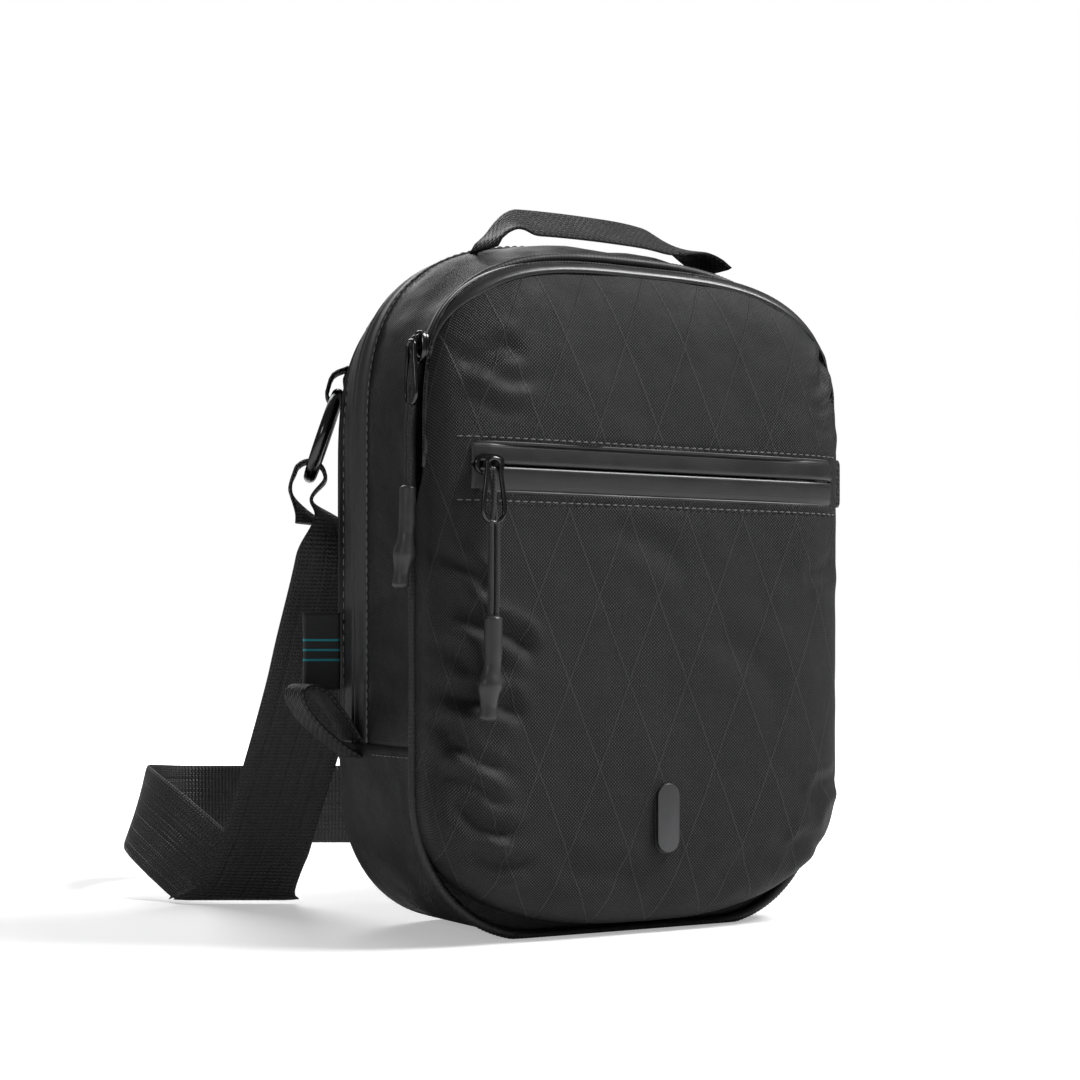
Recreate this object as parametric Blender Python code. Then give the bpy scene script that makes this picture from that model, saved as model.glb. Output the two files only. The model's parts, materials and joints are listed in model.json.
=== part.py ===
"""Sling bag with a main compartment, a zipped front compartment and a zipped front pocket.

Frame: X to the right along the front, -Y to the front, +Z up. The origin is on the flat base.
Lengths are in metres. Every sub-part is one closed solid with its own material.
"""

import math

import bmesh
import bpy
from mathutils import Matrix, Vector

# ---------------------------------------------------------------- driving dimensions

MM = 0.001
GAP = 0.3 * MM

# Main body: outline in X and Z, and the seams along its depth
BODY_HALF = 96 * MM
BODY_TOP = 278 * MM
SEAM_HALF = 95 * MM
SEAM_TOP = 268 * MM
BACK_HALF = 93.5 * MM
BACK_TOP = 270 * MM
TOP_RISE = 85 * MM
TOP_POWER = 2.9
BASE_FLAT = 40 * MM
BASE_RISE = 60 * MM
BASE_POWER = 2.15
HEM_Z = 75 * MM
WALL = 1.6 * MM
Y_SEAM = -21 * MM
Y_CROWN = 10 * MM
Y_TAPE_FRONT = 19 * MM
Y_ZIP_LINE = 30 * MM
Y_TAPE_REAR = 41 * MM
Y_BACK = 50 * MM
BACK_WALL = 1.5 * MM
PAD_THICK = 4 * MM
LINING = 0.8 * MM

# Front cover: a pillow with a side wall
COVER_HALF = 95 * MM
COVER_BASE = 4 * MM
COVER_TOP = 263 * MM
COVER_TOP_RISE = 73 * MM
COVER_BASE_RISE = 56 * MM
COVER_TOP_POWER = 3.3
COVER_BASE_POWER = 2.5
COVER_SIDE = 9 * MM
COVER_CROWN = 15 * MM
COVER_FULLNESS = 8
COVER_EDGE_POWER = 2.2
COVER_WALL = 1.5 * MM
COVER_LEAN = 7 * MM
COVER_TUCK = 6 * MM
Y_FRONT_ZIP = -28.5 * MM
FRONT_ZIP_RIM = -32 * MM
FRONT_TAPE_LOW = 193 * MM

# Front pocket zip
POCKET_Z = 181.6 * MM
POCKET_LOW = 171.6 * MM
POCKET_HIGH = 190.6 * MM
POCKET_LEFT = -80 * MM
POCKET_RIGHT = 85 * MM
POCKET_DEPTH = 22.6 * MM

# Webbing
STRAP_WIDTH = 38 * MM
STRAP_THICK = 1.5 * MM
HANDLE_WIDTH = 25 * MM
HANDLE_TIP = math.radians(34)
LOOP_WIDTH = 20 * MM
TAB_WIDTH = 12 * MM
TAB_LIFT = 7 * MM
BUNCH_WIDTH = 18 * MM
WEB_THICK = 1.4 * MM

# Rings
RING_RADIUS = 18 * MM
RING_WIRE = 2.5 * MM
RING_CENTRE = Vector((93.2 * MM, 66.4 * MM, 200.5 * MM))
RING_VIEW = Vector((0.40, 0.917, 0))
RING_HANG = Vector((0.275, 0.172, -0.945)).normalized()

# Joint axes
MAIN_HINGE = Vector((0, 52.5 * MM, HEM_Z))
FRONT_HINGE = Vector((0, -21.2 * MM, 6 * MM))
HANDLE_HINGE = Vector((0, -1 * MM, 272.5 * MM))

# Pullers
BAIL_WIRE = 0.7 * MM
BAIL_WIDTH = 8.4 * MM
BAIL_LENGTH = 24 * MM
BAIL_SHOULDER = 0.5
CORD_DIAMETER = 2.8 * MM
END_RADIUS = 3.4 * MM

COLOURS = {
    "shell_fabric": ((0.030, 0.031, 0.033), 0.75, 0.0),
    "coated_tape": ((0.050, 0.052, 0.055), 0.45, 0.0),
    "webbing": ((0.022, 0.022, 0.023), 0.85, 0.0),
    "lining": ((0.10, 0.11, 0.12), 0.80, 0.0),
    "spacer_mesh": ((0.025, 0.025, 0.027), 0.90, 0.0),
    "board": ((0.05, 0.05, 0.05), 0.60, 0.0),
    "black_metal": ((0.020, 0.020, 0.021), 0.30, 1.0),
    "badge_metal": ((0.075, 0.075, 0.078), 0.40, 1.0),
    "cord": ((0.018, 0.018, 0.019), 0.85, 0.0),
    "rubber": ((0.030, 0.030, 0.031), 0.50, 0.0),
    "black_plastic": ((0.020, 0.020, 0.021), 0.40, 0.0),
}


# ---------------------------------------------------------------- building blocks

def clear_scene():
    for found in list(bpy.data.objects):
        bpy.data.objects.remove(found, do_unlink=True)


def material(name):
    found = bpy.data.materials.get(name)
    if found:
        return found
    colour, roughness, metallic = COLOURS[name]
    made = bpy.data.materials.new(name)
    made.use_nodes = True
    shader = made.node_tree.nodes["Principled BSDF"]
    shader.inputs["Base Color"].default_value = (*colour, 1.0)
    shader.inputs["Roughness"].default_value = roughness
    shader.inputs["Metallic"].default_value = metallic
    made.diffuse_color = (*colour, 1.0)
    return made


def place(mesh_bm, name, slot, origin=(0, 0, 0)):
    """Turns a bmesh in world space into an object whose origin is at the given point."""
    bmesh.ops.recalc_face_normals(mesh_bm, faces=mesh_bm.faces)
    bmesh.ops.translate(mesh_bm, verts=mesh_bm.verts, vec=-Vector(origin))
    mesh = bpy.data.meshes.new(name)
    mesh_bm.to_mesh(mesh)
    mesh_bm.free()
    mesh.shade_smooth()
    mesh.set_sharp_from_angle(angle=math.radians(40))
    made = bpy.data.objects.new(name, mesh)
    made.location = origin
    made.data.materials.append(material(slot))
    bpy.context.scene.collection.objects.link(made)
    return made


def slab(name, slot, outer, inner, wrap=False, cap=False, origin=(0, 0, 0)):
    """A skin between two grids of points. wrap closes each row, cap closes the last row."""
    shape = bmesh.new()
    sides = [[[shape.verts.new(p) for p in row] for row in grid] for grid in (outer, inner)]
    rows = len(outer)
    columns = len(outer[0])
    last = columns if wrap else columns - 1
    for grid in sides:
        for i in range(rows - 1):
            for j in range(last):
                k = (j + 1) % columns
                shape.faces.new((grid[i][j], grid[i][k], grid[i + 1][k], grid[i + 1][j]))
    a, b = sides
    rims = [0] if cap else [0, rows - 1]
    for i in rims:
        for j in range(last):
            k = (j + 1) % columns
            shape.faces.new((a[i][j], a[i][k], b[i][k], b[i][j]))
    if cap:
        shape.faces.new(a[-1])
        shape.faces.new(b[-1])
    if not wrap:
        for j in (0, columns - 1):
            for i in range(rows - 1):
                shape.faces.new((a[i][j], a[i + 1][j], b[i + 1][j], b[i][j]))
    return place(shape, name, slot, origin)


def rods(name, slot, rings, closed=False, origin=(0, 0, 0)):
    """A solid through a list of rings of points, with end faces unless it is closed."""
    shape = bmesh.new()
    made = [[shape.verts.new(p) for p in ring] for ring in rings]
    count = len(made)
    sides = len(made[0])
    for i in range(count if closed else count - 1):
        one = made[i]
        two = made[(i + 1) % count]
        for j in range(sides):
            k = (j + 1) % sides
            shape.faces.new((one[j], one[k], two[k], two[j]))
    if not closed:
        shape.faces.new(made[0])
        shape.faces.new(made[-1])
    return place(shape, name, slot, origin)


def tangents(points, closed=False):
    found = []
    count = len(points)
    for i in range(count):
        before = points[i - 1] if closed or i else points[0]
        after = points[(i + 1) % count] if closed or i < count - 1 else points[-1]
        found.append((after - before).normalized())
    return found


def slanted(width, side, run):
    """The length across a band of this width, along a side that isn't square to its run."""
    lean = side.normalized().dot(run)
    return width / math.sqrt(max(0.5, 1 - lean * lean))


def ribbon(name, slot, points, across, widths, thick, origin=(0, 0, 0)):
    """A flat band along the points. across holds its width direction at each point."""
    rings = []
    if not isinstance(widths, list):
        widths = [widths] * len(points)
    for point, run, side, width in zip(points, tangents(points), across, widths):
        wide = side.normalized()
        deep = run.cross(wide).normalized()
        reach = slanted(width, side, run) / 2
        rings.append([
            point + wide * (a * reach) + deep * (b * thick / 2)
            for a, b in ((-1, -1), (1, -1), (1, 1), (-1, 1))
        ])
    return rods(name, slot, rings, origin=origin)


def wire(name, slot, points, radius, closed=False, sides=8, origin=(0, 0, 0)):
    """A round wire along points that lie in one plane."""
    plane = (points[1] - points[0]).cross(points[len(points) // 3] - points[0])
    normal = plane.normalized() if plane.length > 1e-9 else Vector((0, 1, 0))
    rings = []
    for point, run in zip(points, tangents(points, closed)):
        out = run.cross(normal).normalized()
        up = out.cross(run)
        turns = [2 * math.pi * (i + 0.5) / sides for i in range(sides)]
        rings.append([point + out * radius * math.cos(t) + up * radius * math.sin(t) for t in turns])
    return rods(name, slot, rings, closed, origin)


def prism(name, slot, outline, y_low, y_high, origin=(0, 0, 0)):
    """A flat plate between two Y planes."""
    rings = [[Vector((x, y, z)) for x, z in outline] for y in (y_low, y_high)]
    return rods(name, slot, rings, origin=origin)


def box(name, slot, low, high, bevel=0.0, origin=(0, 0, 0)):
    """A block between two corners, with its edges bevelled."""
    shape = bmesh.new()
    bmesh.ops.create_cube(shape, size=1.0)
    size = Vector(high) - Vector(low)
    bmesh.ops.scale(shape, verts=shape.verts, vec=size)
    bmesh.ops.translate(shape, verts=shape.verts, vec=(Vector(low) + Vector(high)) / 2)
    if bevel:
        bmesh.ops.bevel(shape, geom=shape.edges[:], offset=bevel, segments=1, affect="EDGES")
    return place(shape, name, slot, origin)


def smooth_route(route, steps):
    """Points of a Catmull-Rom curve through the route's own points."""
    ends = [route[0] * 2 - route[1]] + list(route) + [route[-1] * 2 - route[-2]]
    found = []
    for i in range(1, len(ends) - 2):
        a, b, c, d = ends[i - 1:i + 3]
        for k in range(steps):
            t = k / steps
            found.append(
                0.5 * (2 * b + (c - a) * t + (2 * a - 5 * b + 4 * c - d) * t * t
                       + (3 * b - a - 3 * c + d) * t ** 3)
            )
    found.append(route[-1].copy())
    return found


def cord(name, points, diameter, origin=(0, 0, 0)):
    """A cord as a bevelled poly curve with filled ends."""
    data = bpy.data.curves.new(name, "CURVE")
    data.dimensions = "3D"
    data.bevel_depth = diameter / 2
    data.bevel_resolution = 2
    data.use_fill_caps = True
    spline = data.splines.new("POLY")
    spline.points.add(len(points) - 1)
    for slot, point in zip(spline.points, points):
        slot.co = (*(point - Vector(origin)), 1.0)
    made = bpy.data.objects.new(name, data)
    made.location = origin
    data.materials.append(material("cord"))
    bpy.context.scene.collection.objects.link(made)
    return made


def mirrored(point):
    return Vector((-point.x, point.y, point.z))


# ---------------------------------------------------------------- outlines

def lerp(a, b, t):
    return a + (b - a) * t


def ease(t):
    t = min(max(t, 0.0), 1.0)
    return t * t * (3 - 2 * t)


def body_size(y):
    """Half width and top height of the main body at a depth."""
    if y <= Y_CROWN:
        t = ease((y - Y_SEAM) / (Y_CROWN - Y_SEAM))
        return lerp(SEAM_HALF, BODY_HALF, t), lerp(SEAM_TOP, BODY_TOP, t)
    t = ((y - Y_CROWN) / (Y_BACK - Y_CROWN)) ** 2
    return lerp(BODY_HALF, BACK_HALF, t), lerp(BODY_TOP, BACK_TOP, t)


def corner(reach, rise, power, steps):
    """Points of a quarter superellipse, from (reach, 0) to (0, rise)."""
    turns = [math.pi / 2 * i / steps for i in range(steps + 1)]
    return [(reach * math.cos(t) ** (2 / power), rise * math.sin(t) ** (2 / power)) for t in turns]


def arch(y, inset, low=HEM_Z, steps=10):
    """Half outline over the top at a depth, from the left hem to the right hem."""
    half, top = body_size(y)
    half -= inset
    top -= inset
    spring = top - TOP_RISE
    left = [(-half, lerp(low, spring, i / 3)) for i in range(3)]
    left += [(-x, spring + z) for x, z in corner(half, TOP_RISE, TOP_POWER, steps)]
    right = [(-x, z) for x, z in reversed(left[:-1])]
    return [Vector((x, y, z)) for x, z in left + right]


def trough(y, inset, high=HEM_Z, steps=8):
    """Half outline round the base at a depth, from the left hem to the right hem."""
    half = body_size(y)[0] - inset
    rise = BASE_RISE - inset
    curve = corner(half - BASE_FLAT, rise, BASE_POWER, steps)
    left = [(-half, high)] + [(-BASE_FLAT - x, BASE_RISE - z) for x, z in curve]
    right = [(-x, z) for x, z in reversed(left)]
    return [Vector((x, y, z)) for x, z in left + right]


def band(name, slot, line, stations, thick, origin=(0, 0, 0), **limits):
    """A strip of the body's skin. Each station is a depth and how proud the skin is there."""
    outer = [line(y, -proud, **limits) for y, proud in stations]
    inner = [line(y, thick, **limits) for y, proud in stations]
    return slab(name, slot, outer, inner, origin=origin)


# ---------------------------------------------------------------- front cover surface

def cover_depth(rho):
    """How far the cover stands in front of the seam, where rho is 1 at its outline."""
    return COVER_SIDE + COVER_CROWN * max(0.0, 1 - rho ** COVER_FULLNESS) ** (1 / COVER_EDGE_POWER)


def cover_level(x, z):
    """Which scaled copy of the outline passes through this point."""
    top_spring = COVER_TOP - COVER_TOP_RISE
    base_spring = COVER_BASE + COVER_BASE_RISE
    side = abs(x) / COVER_HALF
    if z > top_spring:
        rise = (z - top_spring) / COVER_TOP_RISE
        return (side ** COVER_TOP_POWER + rise ** COVER_TOP_POWER) ** (1 / COVER_TOP_POWER)
    if z < base_spring:
        drop = (base_spring - z) / COVER_BASE_RISE
        return (side ** COVER_BASE_POWER + drop ** COVER_BASE_POWER) ** (1 / COVER_BASE_POWER)
    return side


def cover_y(x, z):
    """Depth of the cover's outer face at a point of the front."""
    return leaned(cover_depth(min(1.0, cover_level(x, z))), z)


def leaned(depth, z):
    """The face leans back towards its top and tucks in towards its base."""
    up = max(0.0, (z - (COVER_TOP - COVER_TOP_RISE)) / COVER_TOP_RISE)
    down = max(0.0, (COVER_BASE + COVER_BASE_RISE - z) / COVER_BASE_RISE)
    share = max(0.0, depth - COVER_SIDE) / COVER_CROWN
    return Y_SEAM - depth + share * (COVER_LEAN * up ** 2 + COVER_TUCK * down ** 2)


def cover_ring(rho, inset=0.0, top_steps=8, base_steps=7):
    """Closed outline of the cover, scaled by rho and moved in by inset."""
    half = (COVER_HALF - inset) * rho
    top_spring = COVER_TOP - COVER_TOP_RISE
    base_spring = COVER_BASE + COVER_BASE_RISE
    low = corner(half, (COVER_BASE_RISE - inset) * rho, COVER_BASE_POWER, base_steps)
    high = corner(half, (COVER_TOP_RISE - inset) * rho, COVER_TOP_POWER, top_steps)
    left = [(-x, base_spring - z) for x, z in reversed(low)]
    left += [(-half, lerp(base_spring, top_spring, i / 4)) for i in (1, 2, 3)]
    left += [(-x, top_spring + z) for x, z in high]
    right = [(-x, z) for x, z in reversed(left[1:-1])]
    return left + right


def rim_start(z):
    """The cover's side wall starts at the seam low down, and at the zip higher up."""
    climb = ease((z - 156 * MM) / (32 * MM))
    return lerp(Y_SEAM - 0.4 * MM, FRONT_ZIP_RIM - GAP, climb)


def cover_grid(inset):
    """Rows of points from the cover's rim to the middle of its face."""
    levels = (0.985, 0.955, 0.91, 0.83, 0.70, 0.48, 0.22)
    edge = cover_ring(1.0, inset)
    wall = Y_SEAM - COVER_SIDE - 2.5 * MM
    rows = [
        [Vector((x, rim_start(z), z)) for x, z in edge],
        [Vector((x, min(wall, rim_start(z) - MM), z)) for x, z in edge],
    ]
    for rho in levels:
        depth = cover_depth(rho)
        rows.append([Vector((x, leaned(depth, z) + inset, z)) for x, z in cover_ring(rho, inset)])
    return rows


def cover_arch(y, inset, steps=8):
    """The upper part of the cover's outline at a depth, for the zip tapes."""
    half = COVER_HALF - inset
    spring = COVER_TOP - COVER_TOP_RISE
    left = [(-half, FRONT_TAPE_LOW)]
    left += [(-x, spring + z) for x, z in corner(half, COVER_TOP_RISE - inset, COVER_TOP_POWER, steps)][1:]
    right = [(-x, z) for x, z in reversed(left[:-1])]
    return [Vector((x, y, z)) for x, z in left + right]


# ---------------------------------------------------------------- main body

def make_main_body():
    seam_stations = [(Y_SEAM + GAP, 0), (-8 * MM, 0), (6 * MM, 0), (Y_TAPE_FRONT - GAP / 2, 0)]
    band("main_gusset", "shell_fabric", arch, seam_stations, WALL, low=HEM_Z + GAP / 2)
    base_stations = [(Y_SEAM + GAP, 0), (5 * MM, 0), (30 * MM, 0), (Y_BACK - GAP, 0)]
    band("lower_gusset", "shell_fabric", trough, base_stations, WALL, high=HEM_Z - GAP / 2)
    make_divider()
    make_bottom_board()
    make_lower_back()
    make_slip_pocket()
    stations = tape_stations(Y_TAPE_FRONT + GAP / 2, Y_ZIP_LINE - GAP)
    band("main_zip_tape_front", "coated_tape", arch, stations, 0.9 * MM, low=HEM_Z + GAP / 2)


def tape_stations(edge, line):
    """A zip tape with a raised coil along its inner edge."""
    toward = 1 if line > edge else -1
    coil = line - toward * 1.8 * MM
    return [(edge, 0), (coil - toward * 0.3 * MM, 0), (coil, 0.8 * MM), (line, 0.8 * MM)]


def inner_outline(y, inset):
    """Closed outline inside the main body, as (x, z) pairs."""
    over = arch(y, inset)
    under = trough(y, inset)
    points = over + list(reversed(under[1:-1]))
    return [(p.x, p.z) for p in points]


def make_divider():
    inset = WALL + GAP
    prism("divider_panel", "lining", inner_outline(Y_SEAM, inset), Y_SEAM + 0.5 * MM, Y_SEAM + 1.7 * MM)


def make_bottom_board():
    low = (-BASE_FLAT, Y_SEAM + 4 * MM, WALL + GAP)
    high = (BASE_FLAT, Y_BACK - 4 * MM, WALL + GAP + 2 * MM)
    box("bottom_board", "board", low, high, 0.4 * MM)


def make_lower_back():
    """The fixed lower part of the back, below the opening panel."""
    under = trough(Y_BACK, 0.4 * MM, high=HEM_Z - GAP / 2)
    outline = [(p.x, p.z) for p in under]
    prism("lower_back_panel", "shell_fabric", outline, Y_BACK + GAP / 2, Y_BACK + BACK_WALL)


def make_slip_pocket():
    """An open pocket on the divider, facing the main compartment."""
    near = Y_SEAM + 2.2 * MM
    pouch("slip_pocket", 70 * MM, (24 * MM, 165 * MM), (near, near + 8 * MM), (0, 0, 0))


def pouch(name, reach, heights, depths, origin):
    """A flat box of lining, open at its top."""
    low, high = heights
    near, far = depths
    shape = [(-reach, near), (reach, near), (reach, far), (-reach, far)]
    inside = [
        (x - math.copysign(LINING, x), y + (LINING if y == near else -LINING))
        for x, y in shape
    ]
    outer = [[Vector((x, y, z)) for x, y in shape] for z in (high, low)]
    inner = [[Vector((x, y, z)) for x, y in inside] for z in (high, low + LINING)]
    slab(name, "lining", outer, inner, wrap=True, cap=True, origin=origin)


# ---------------------------------------------------------------- back panel

def make_back_panel():
    """The rear face with its edge strip. It hinges above the lower gusset's hem."""
    foot = HEM_Z + GAP / 2
    stations = [(Y_TAPE_REAR + GAP / 2, 0), (45 * MM, 0), (Y_BACK - GAP, 0)]
    band("rear_strip", "shell_fabric", arch, stations, WALL, MAIN_HINGE, low=foot)
    stations = tape_stations(Y_TAPE_REAR - GAP / 2, Y_ZIP_LINE + GAP)
    band("main_zip_tape_rear", "coated_tape", arch, stations, 0.9 * MM, MAIN_HINGE, low=foot)
    outline = [(p.x, p.z) for p in arch(Y_BACK, 0.4 * MM, low=foot)]
    prism("back_shell", "shell_fabric", outline, Y_BACK, Y_BACK + BACK_WALL, MAIN_HINGE)
    make_back_pad()
    make_back_lining()
    make_label()


def make_back_pad():
    """Foam pad under spacer mesh, inset from the edge."""
    y = Y_BACK + BACK_WALL + GAP
    points = arch(Y_BACK, 13 * MM, low=HEM_Z + 4 * MM)
    outline = [(p.x, p.z) for p in points]
    shrunk = [(x * 0.97, lerp(HEM_Z + 98 * MM, z, 0.97)) for x, z in outline]
    full = [Vector((x, y, z)) for x, z in outline]
    top = [Vector((x, y + PAD_THICK, z)) for x, z in shrunk]
    mid = [Vector((x, y + PAD_THICK * 0.6, z)) for x, z in outline]
    rods("back_pad", "spacer_mesh", [full, mid, top], origin=MAIN_HINGE)


def make_back_lining():
    points = arch(Y_BACK, 4 * MM, low=HEM_Z + 3 * MM)
    outline = [(p.x, p.z) for p in points]
    prism("back_lining", "lining", outline, Y_BACK - 2 * MM, Y_BACK - 1 * MM, MAIN_HINGE)


def make_label():
    """A plain folded fabric label in the rear seam of the left side."""
    low = (-111 * MM, 46.6 * MM, 96 * MM)
    high = (-(BACK_HALF + 1.9 * MM), 47.8 * MM, 127 * MM)
    box("side_label", "webbing", low, high, origin=MAIN_HINGE)


# ---------------------------------------------------------------- front compartment

def make_front_panel():
    cover = slab("front_cover", "shell_fabric", cover_grid(0.0), cover_grid(COVER_WALL),
                 wrap=True, cap=True, origin=FRONT_HINGE)
    cut_pocket_slot(cover)
    stations = (FRONT_ZIP_RIM, -29.6 * MM, -29.3 * MM, Y_FRONT_ZIP - GAP)
    front_tape("front_zip_tape_cover", stations, FRONT_HINGE)
    make_pocket_zip()
    make_pocket_lining()
    make_badge()


def front_tape(name, stations, origin):
    proud = (0, 0, 0.6 * MM, 0.6 * MM)
    outer = [cover_arch(y, -more) for y, more in zip(stations, proud)]
    inner = [cover_arch(y, 0.9 * MM) for y in stations]
    return slab(name, "coated_tape", outer, inner, origin=origin)


def make_front_fixed():
    """The body's side of the front compartment: zip tape and folding side wall."""
    stations = (Y_SEAM - GAP, -27.0 * MM, -27.3 * MM, Y_FRONT_ZIP + GAP)
    front_tape("front_zip_tape_body", stations, (0, 0, 0))
    outer = [front_fold(y, 3.4 * MM) for y in (Y_SEAM - 0.4 * MM, -27 * MM)]
    inner = [front_fold(y, 4.2 * MM) for y in (Y_SEAM - 0.4 * MM, -27 * MM)]
    slab("front_gusset", "lining", outer, inner)


def front_fold(y, inset):
    """Sides and base of the cover's outline, below its zip."""
    half = COVER_HALF - inset
    spring = COVER_BASE + COVER_BASE_RISE
    curve = corner(half, COVER_BASE_RISE - inset, COVER_BASE_POWER, 7)
    left = [(-half, 186 * MM)] + [(-x, spring - z) for x, z in curve]
    right = [(-x, z) for x, z in reversed(left[:-1])]
    return [Vector((x, y, z)) for x, z in left + right]


def cut_pocket_slot(cover):
    cutter = box("pocket_slot_cutter", "shell_fabric",
                 (POCKET_LEFT, -60 * MM, POCKET_LOW), (POCKET_RIGHT, -30 * MM, POCKET_HIGH))
    cutter.hide_render = True
    cutter.display_type = "WIRE"
    cut = cover.modifiers.new("pocket_slot", "BOOLEAN")
    cut.operation = "DIFFERENCE"
    cut.solver = "EXACT"
    cut.object = cutter


def pocket_y(x, z):
    """The pocket zip runs straight where its slider travels, and follows the cover past that."""
    return max(cover_y(x, z) + 0.5 * MM, Y_SEAM - POCKET_DEPTH)


def make_pocket_zip():
    """Upper and lower zip tapes, which fill the slot in the cover."""
    columns = 16
    left = POCKET_LEFT + GAP
    right = POCKET_RIGHT - GAP
    across = [lerp(left, right, i / columns) for i in range(columns + 1)]
    spans = {
        "pocket_zip_tape_upper": (POCKET_Z + GAP, POCKET_Z + 2 * MM, POCKET_HIGH - GAP),
        "pocket_zip_tape_lower": (POCKET_LOW + GAP, POCKET_Z - 2 * MM, POCKET_Z - GAP),
    }
    for name, heights in spans.items():
        outer = [[Vector((x, pocket_y(x, z), z)) for x in across] for z in heights]
        inner = [[p + Vector((0, 1.0 * MM, 0)) for p in row] for row in outer]
        slab(name, "coated_tape", outer, inner, origin=FRONT_HINGE)


def make_pocket_lining():
    """The front pocket's pouch, behind the slot."""
    pouch("pocket_lining", 62 * MM, (66 * MM, 178 * MM), (-40 * MM, -32 * MM), FRONT_HINGE)


def make_badge():
    """A plain upright pill-shaped plate near the foot of the cover."""
    centre_x = 4 * MM
    centre_z = 46 * MM
    half = 5 * MM
    straight = 8.5 * MM
    outline = []
    for i in range(9):
        turn = math.pi * i / 8
        outline.append((centre_x + half * math.cos(turn), centre_z + straight + half * math.sin(turn)))
    for i in range(9):
        turn = math.pi + math.pi * i / 8
        outline.append((centre_x + half * math.cos(turn), centre_z - straight + half * math.sin(turn)))
    face = min(cover_y(centre_x, z) for z in (centre_z - 13 * MM, centre_z, centre_z + 13 * MM))
    prism("badge", "badge_metal", outline, face - 2.2 * MM, face - GAP, FRONT_HINGE)


# ---------------------------------------------------------------- handle and loops

def handle_route():
    """Centre line of the grab handle, leaning over to the left."""
    pairs = ((-52, 272.9), (-48, 277.8), (-42.5, 281.8), (-36, 283.4), (-18, 283.9), (2, 283.7),
             (17, 283.0), (31, 280.9), (43, 278.0), (52, 273.6))
    return [Vector((x * MM, HANDLE_HINGE.y, z * MM)) for x, z in pairs]


def handle_across(x):
    """The handle's width direction: level where it is sewn, and tipped towards the front between."""
    share = ease((x + 50 * MM) / (16 * MM)) * ease((50 * MM - x) / (26 * MM))
    tip = HANDLE_TIP * share
    return Vector((0, math.cos(tip), math.sin(tip)))


def make_handle():
    """The grip turns as one piece. Its two ends are sewn down and bend."""
    points = smooth_route([lift_over_body(p) for p in handle_route()], 2)
    first = 5
    last = len(points) - 5
    pieces = {
        "handle_end_left": points[:first + 1],
        "handle_grip": points[first:last + 1],
        "handle_end_right": points[last:],
    }
    for name, run in pieces.items():
        run = trim(run, GAP)
        across = [handle_across(p.x) for p in run]
        ribbon(name, "webbing", run, across, HANDLE_WIDTH, WEB_THICK, HANDLE_HINGE)


def trim(run, by):
    """The same run, shorter by this much at each end."""
    run = [p.copy() for p in run]
    run[0] += (run[1] - run[0]).normalized() * by
    run[-1] += (run[-2] - run[-1]).normalized() * by
    return run


def body_surface_z(x, y):
    half, top = body_size(y)
    share = 1 - (abs(x) / half) ** TOP_POWER
    return top - TOP_RISE + TOP_RISE * share ** (1 / TOP_POWER)


def lift_over_body(point):
    """Keeps the webbing clear of the top gusset over its whole width."""
    reach = (-HANDLE_WIDTH / 2, 0, HANDLE_WIDTH / 2)
    floor = max(body_surface_z(point.x, point.y + dy) for dy in reach)
    return Vector((point.x, point.y, max(point.z, floor + WEB_THICK / 2 + 1.0 * MM)))


def make_loops():
    """A pull loop at the foot of the main zip on the left, and a small loop on the right."""
    points = [Vector((x * MM, 0, z * MM)) for x, z in (
        (-98.0, 71.0), (-105.0, 75.0), (-114.0, 82.5), (-120.0, 90.0), (-121.5, 95.5), (-118.0, 98.0),
        (-112.0, 96.0), (-105.5, 89.0), (-100.5, 82.0), (-98.2, 77.5))]
    route = [p + Vector((0, Y_ZIP_LINE, 0)) for p in smooth_route(points, 2)]
    across = [Vector((0, 1, 0))] * len(route)
    ribbon("zip_pull_loop", "webbing", route, across, LOOP_WIDTH, WEB_THICK)
    points = [Vector((x * MM, y * MM, 183.5 * MM)) for x, y in (
        (96.6, -17.5), (101.5, -18.0), (107.0, -17.2), (110.5, -14.6), (110.6, -10.6), (107.2, -7.9),
        (102.0, -7.0), (97.2, -7.4))]
    route = smooth_route(points, 2)
    across = [Vector((0, 0, 1))] * len(route)
    ribbon("side_loop", "webbing", route, across, LOOP_WIDTH, WEB_THICK)


# ---------------------------------------------------------------- rings and strap

def ring_frame(side):
    """Centre, view direction and hang direction of a ring. side is -1 on the left."""
    flip = Vector((side, 1, 1))
    centre = RING_CENTRE * flip
    view = Vector((-side * RING_VIEW.x, RING_VIEW.y, 0)).normalized()
    hang = Vector((side * RING_HANG.x, RING_HANG.y, RING_HANG.z))
    hang = (hang - view * hang.dot(view)).normalized()
    return centre, view, hang


def make_ring(name, side):
    centre, view, hang = ring_frame(side)
    steps = 28
    points = []
    for i in range(steps):
        turn = 2 * math.pi * i / steps
        points.append(centre + view * RING_RADIUS * math.cos(turn) + hang * RING_RADIUS * math.sin(turn))
    wire(name, "black_metal", points, RING_WIRE, closed=True, sides=8, origin=centre)


def make_ring_tab(name, side):
    """A webbing tab, sewn to the back shell, that holds the ring's upper arc."""
    centre, view, hang = ring_frame(side)
    top = centre - hang * RING_RADIUS
    away = view.cross(hang) * (1 if view.cross(hang).y > 0 else -1)
    radius = RING_WIRE + GAP + WEB_THICK / 2 + ring_sag(TAB_WIDTH)
    up = Vector((-side * 0.12, 0.08, 0.99)).normalized()
    points = [top + up * TAB_LIFT - away * radius * 0.5]
    for i in range(9):
        turn = math.pi * i / 8
        points.append(top - away * radius * math.cos(turn) + hang * radius * math.sin(turn))
    points.append(top + up * TAB_LIFT + away * radius * 0.8)
    across = [view] * len(points)
    ribbon(name, "webbing", points, across, TAB_WIDTH, WEB_THICK, MAIN_HINGE)


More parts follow.
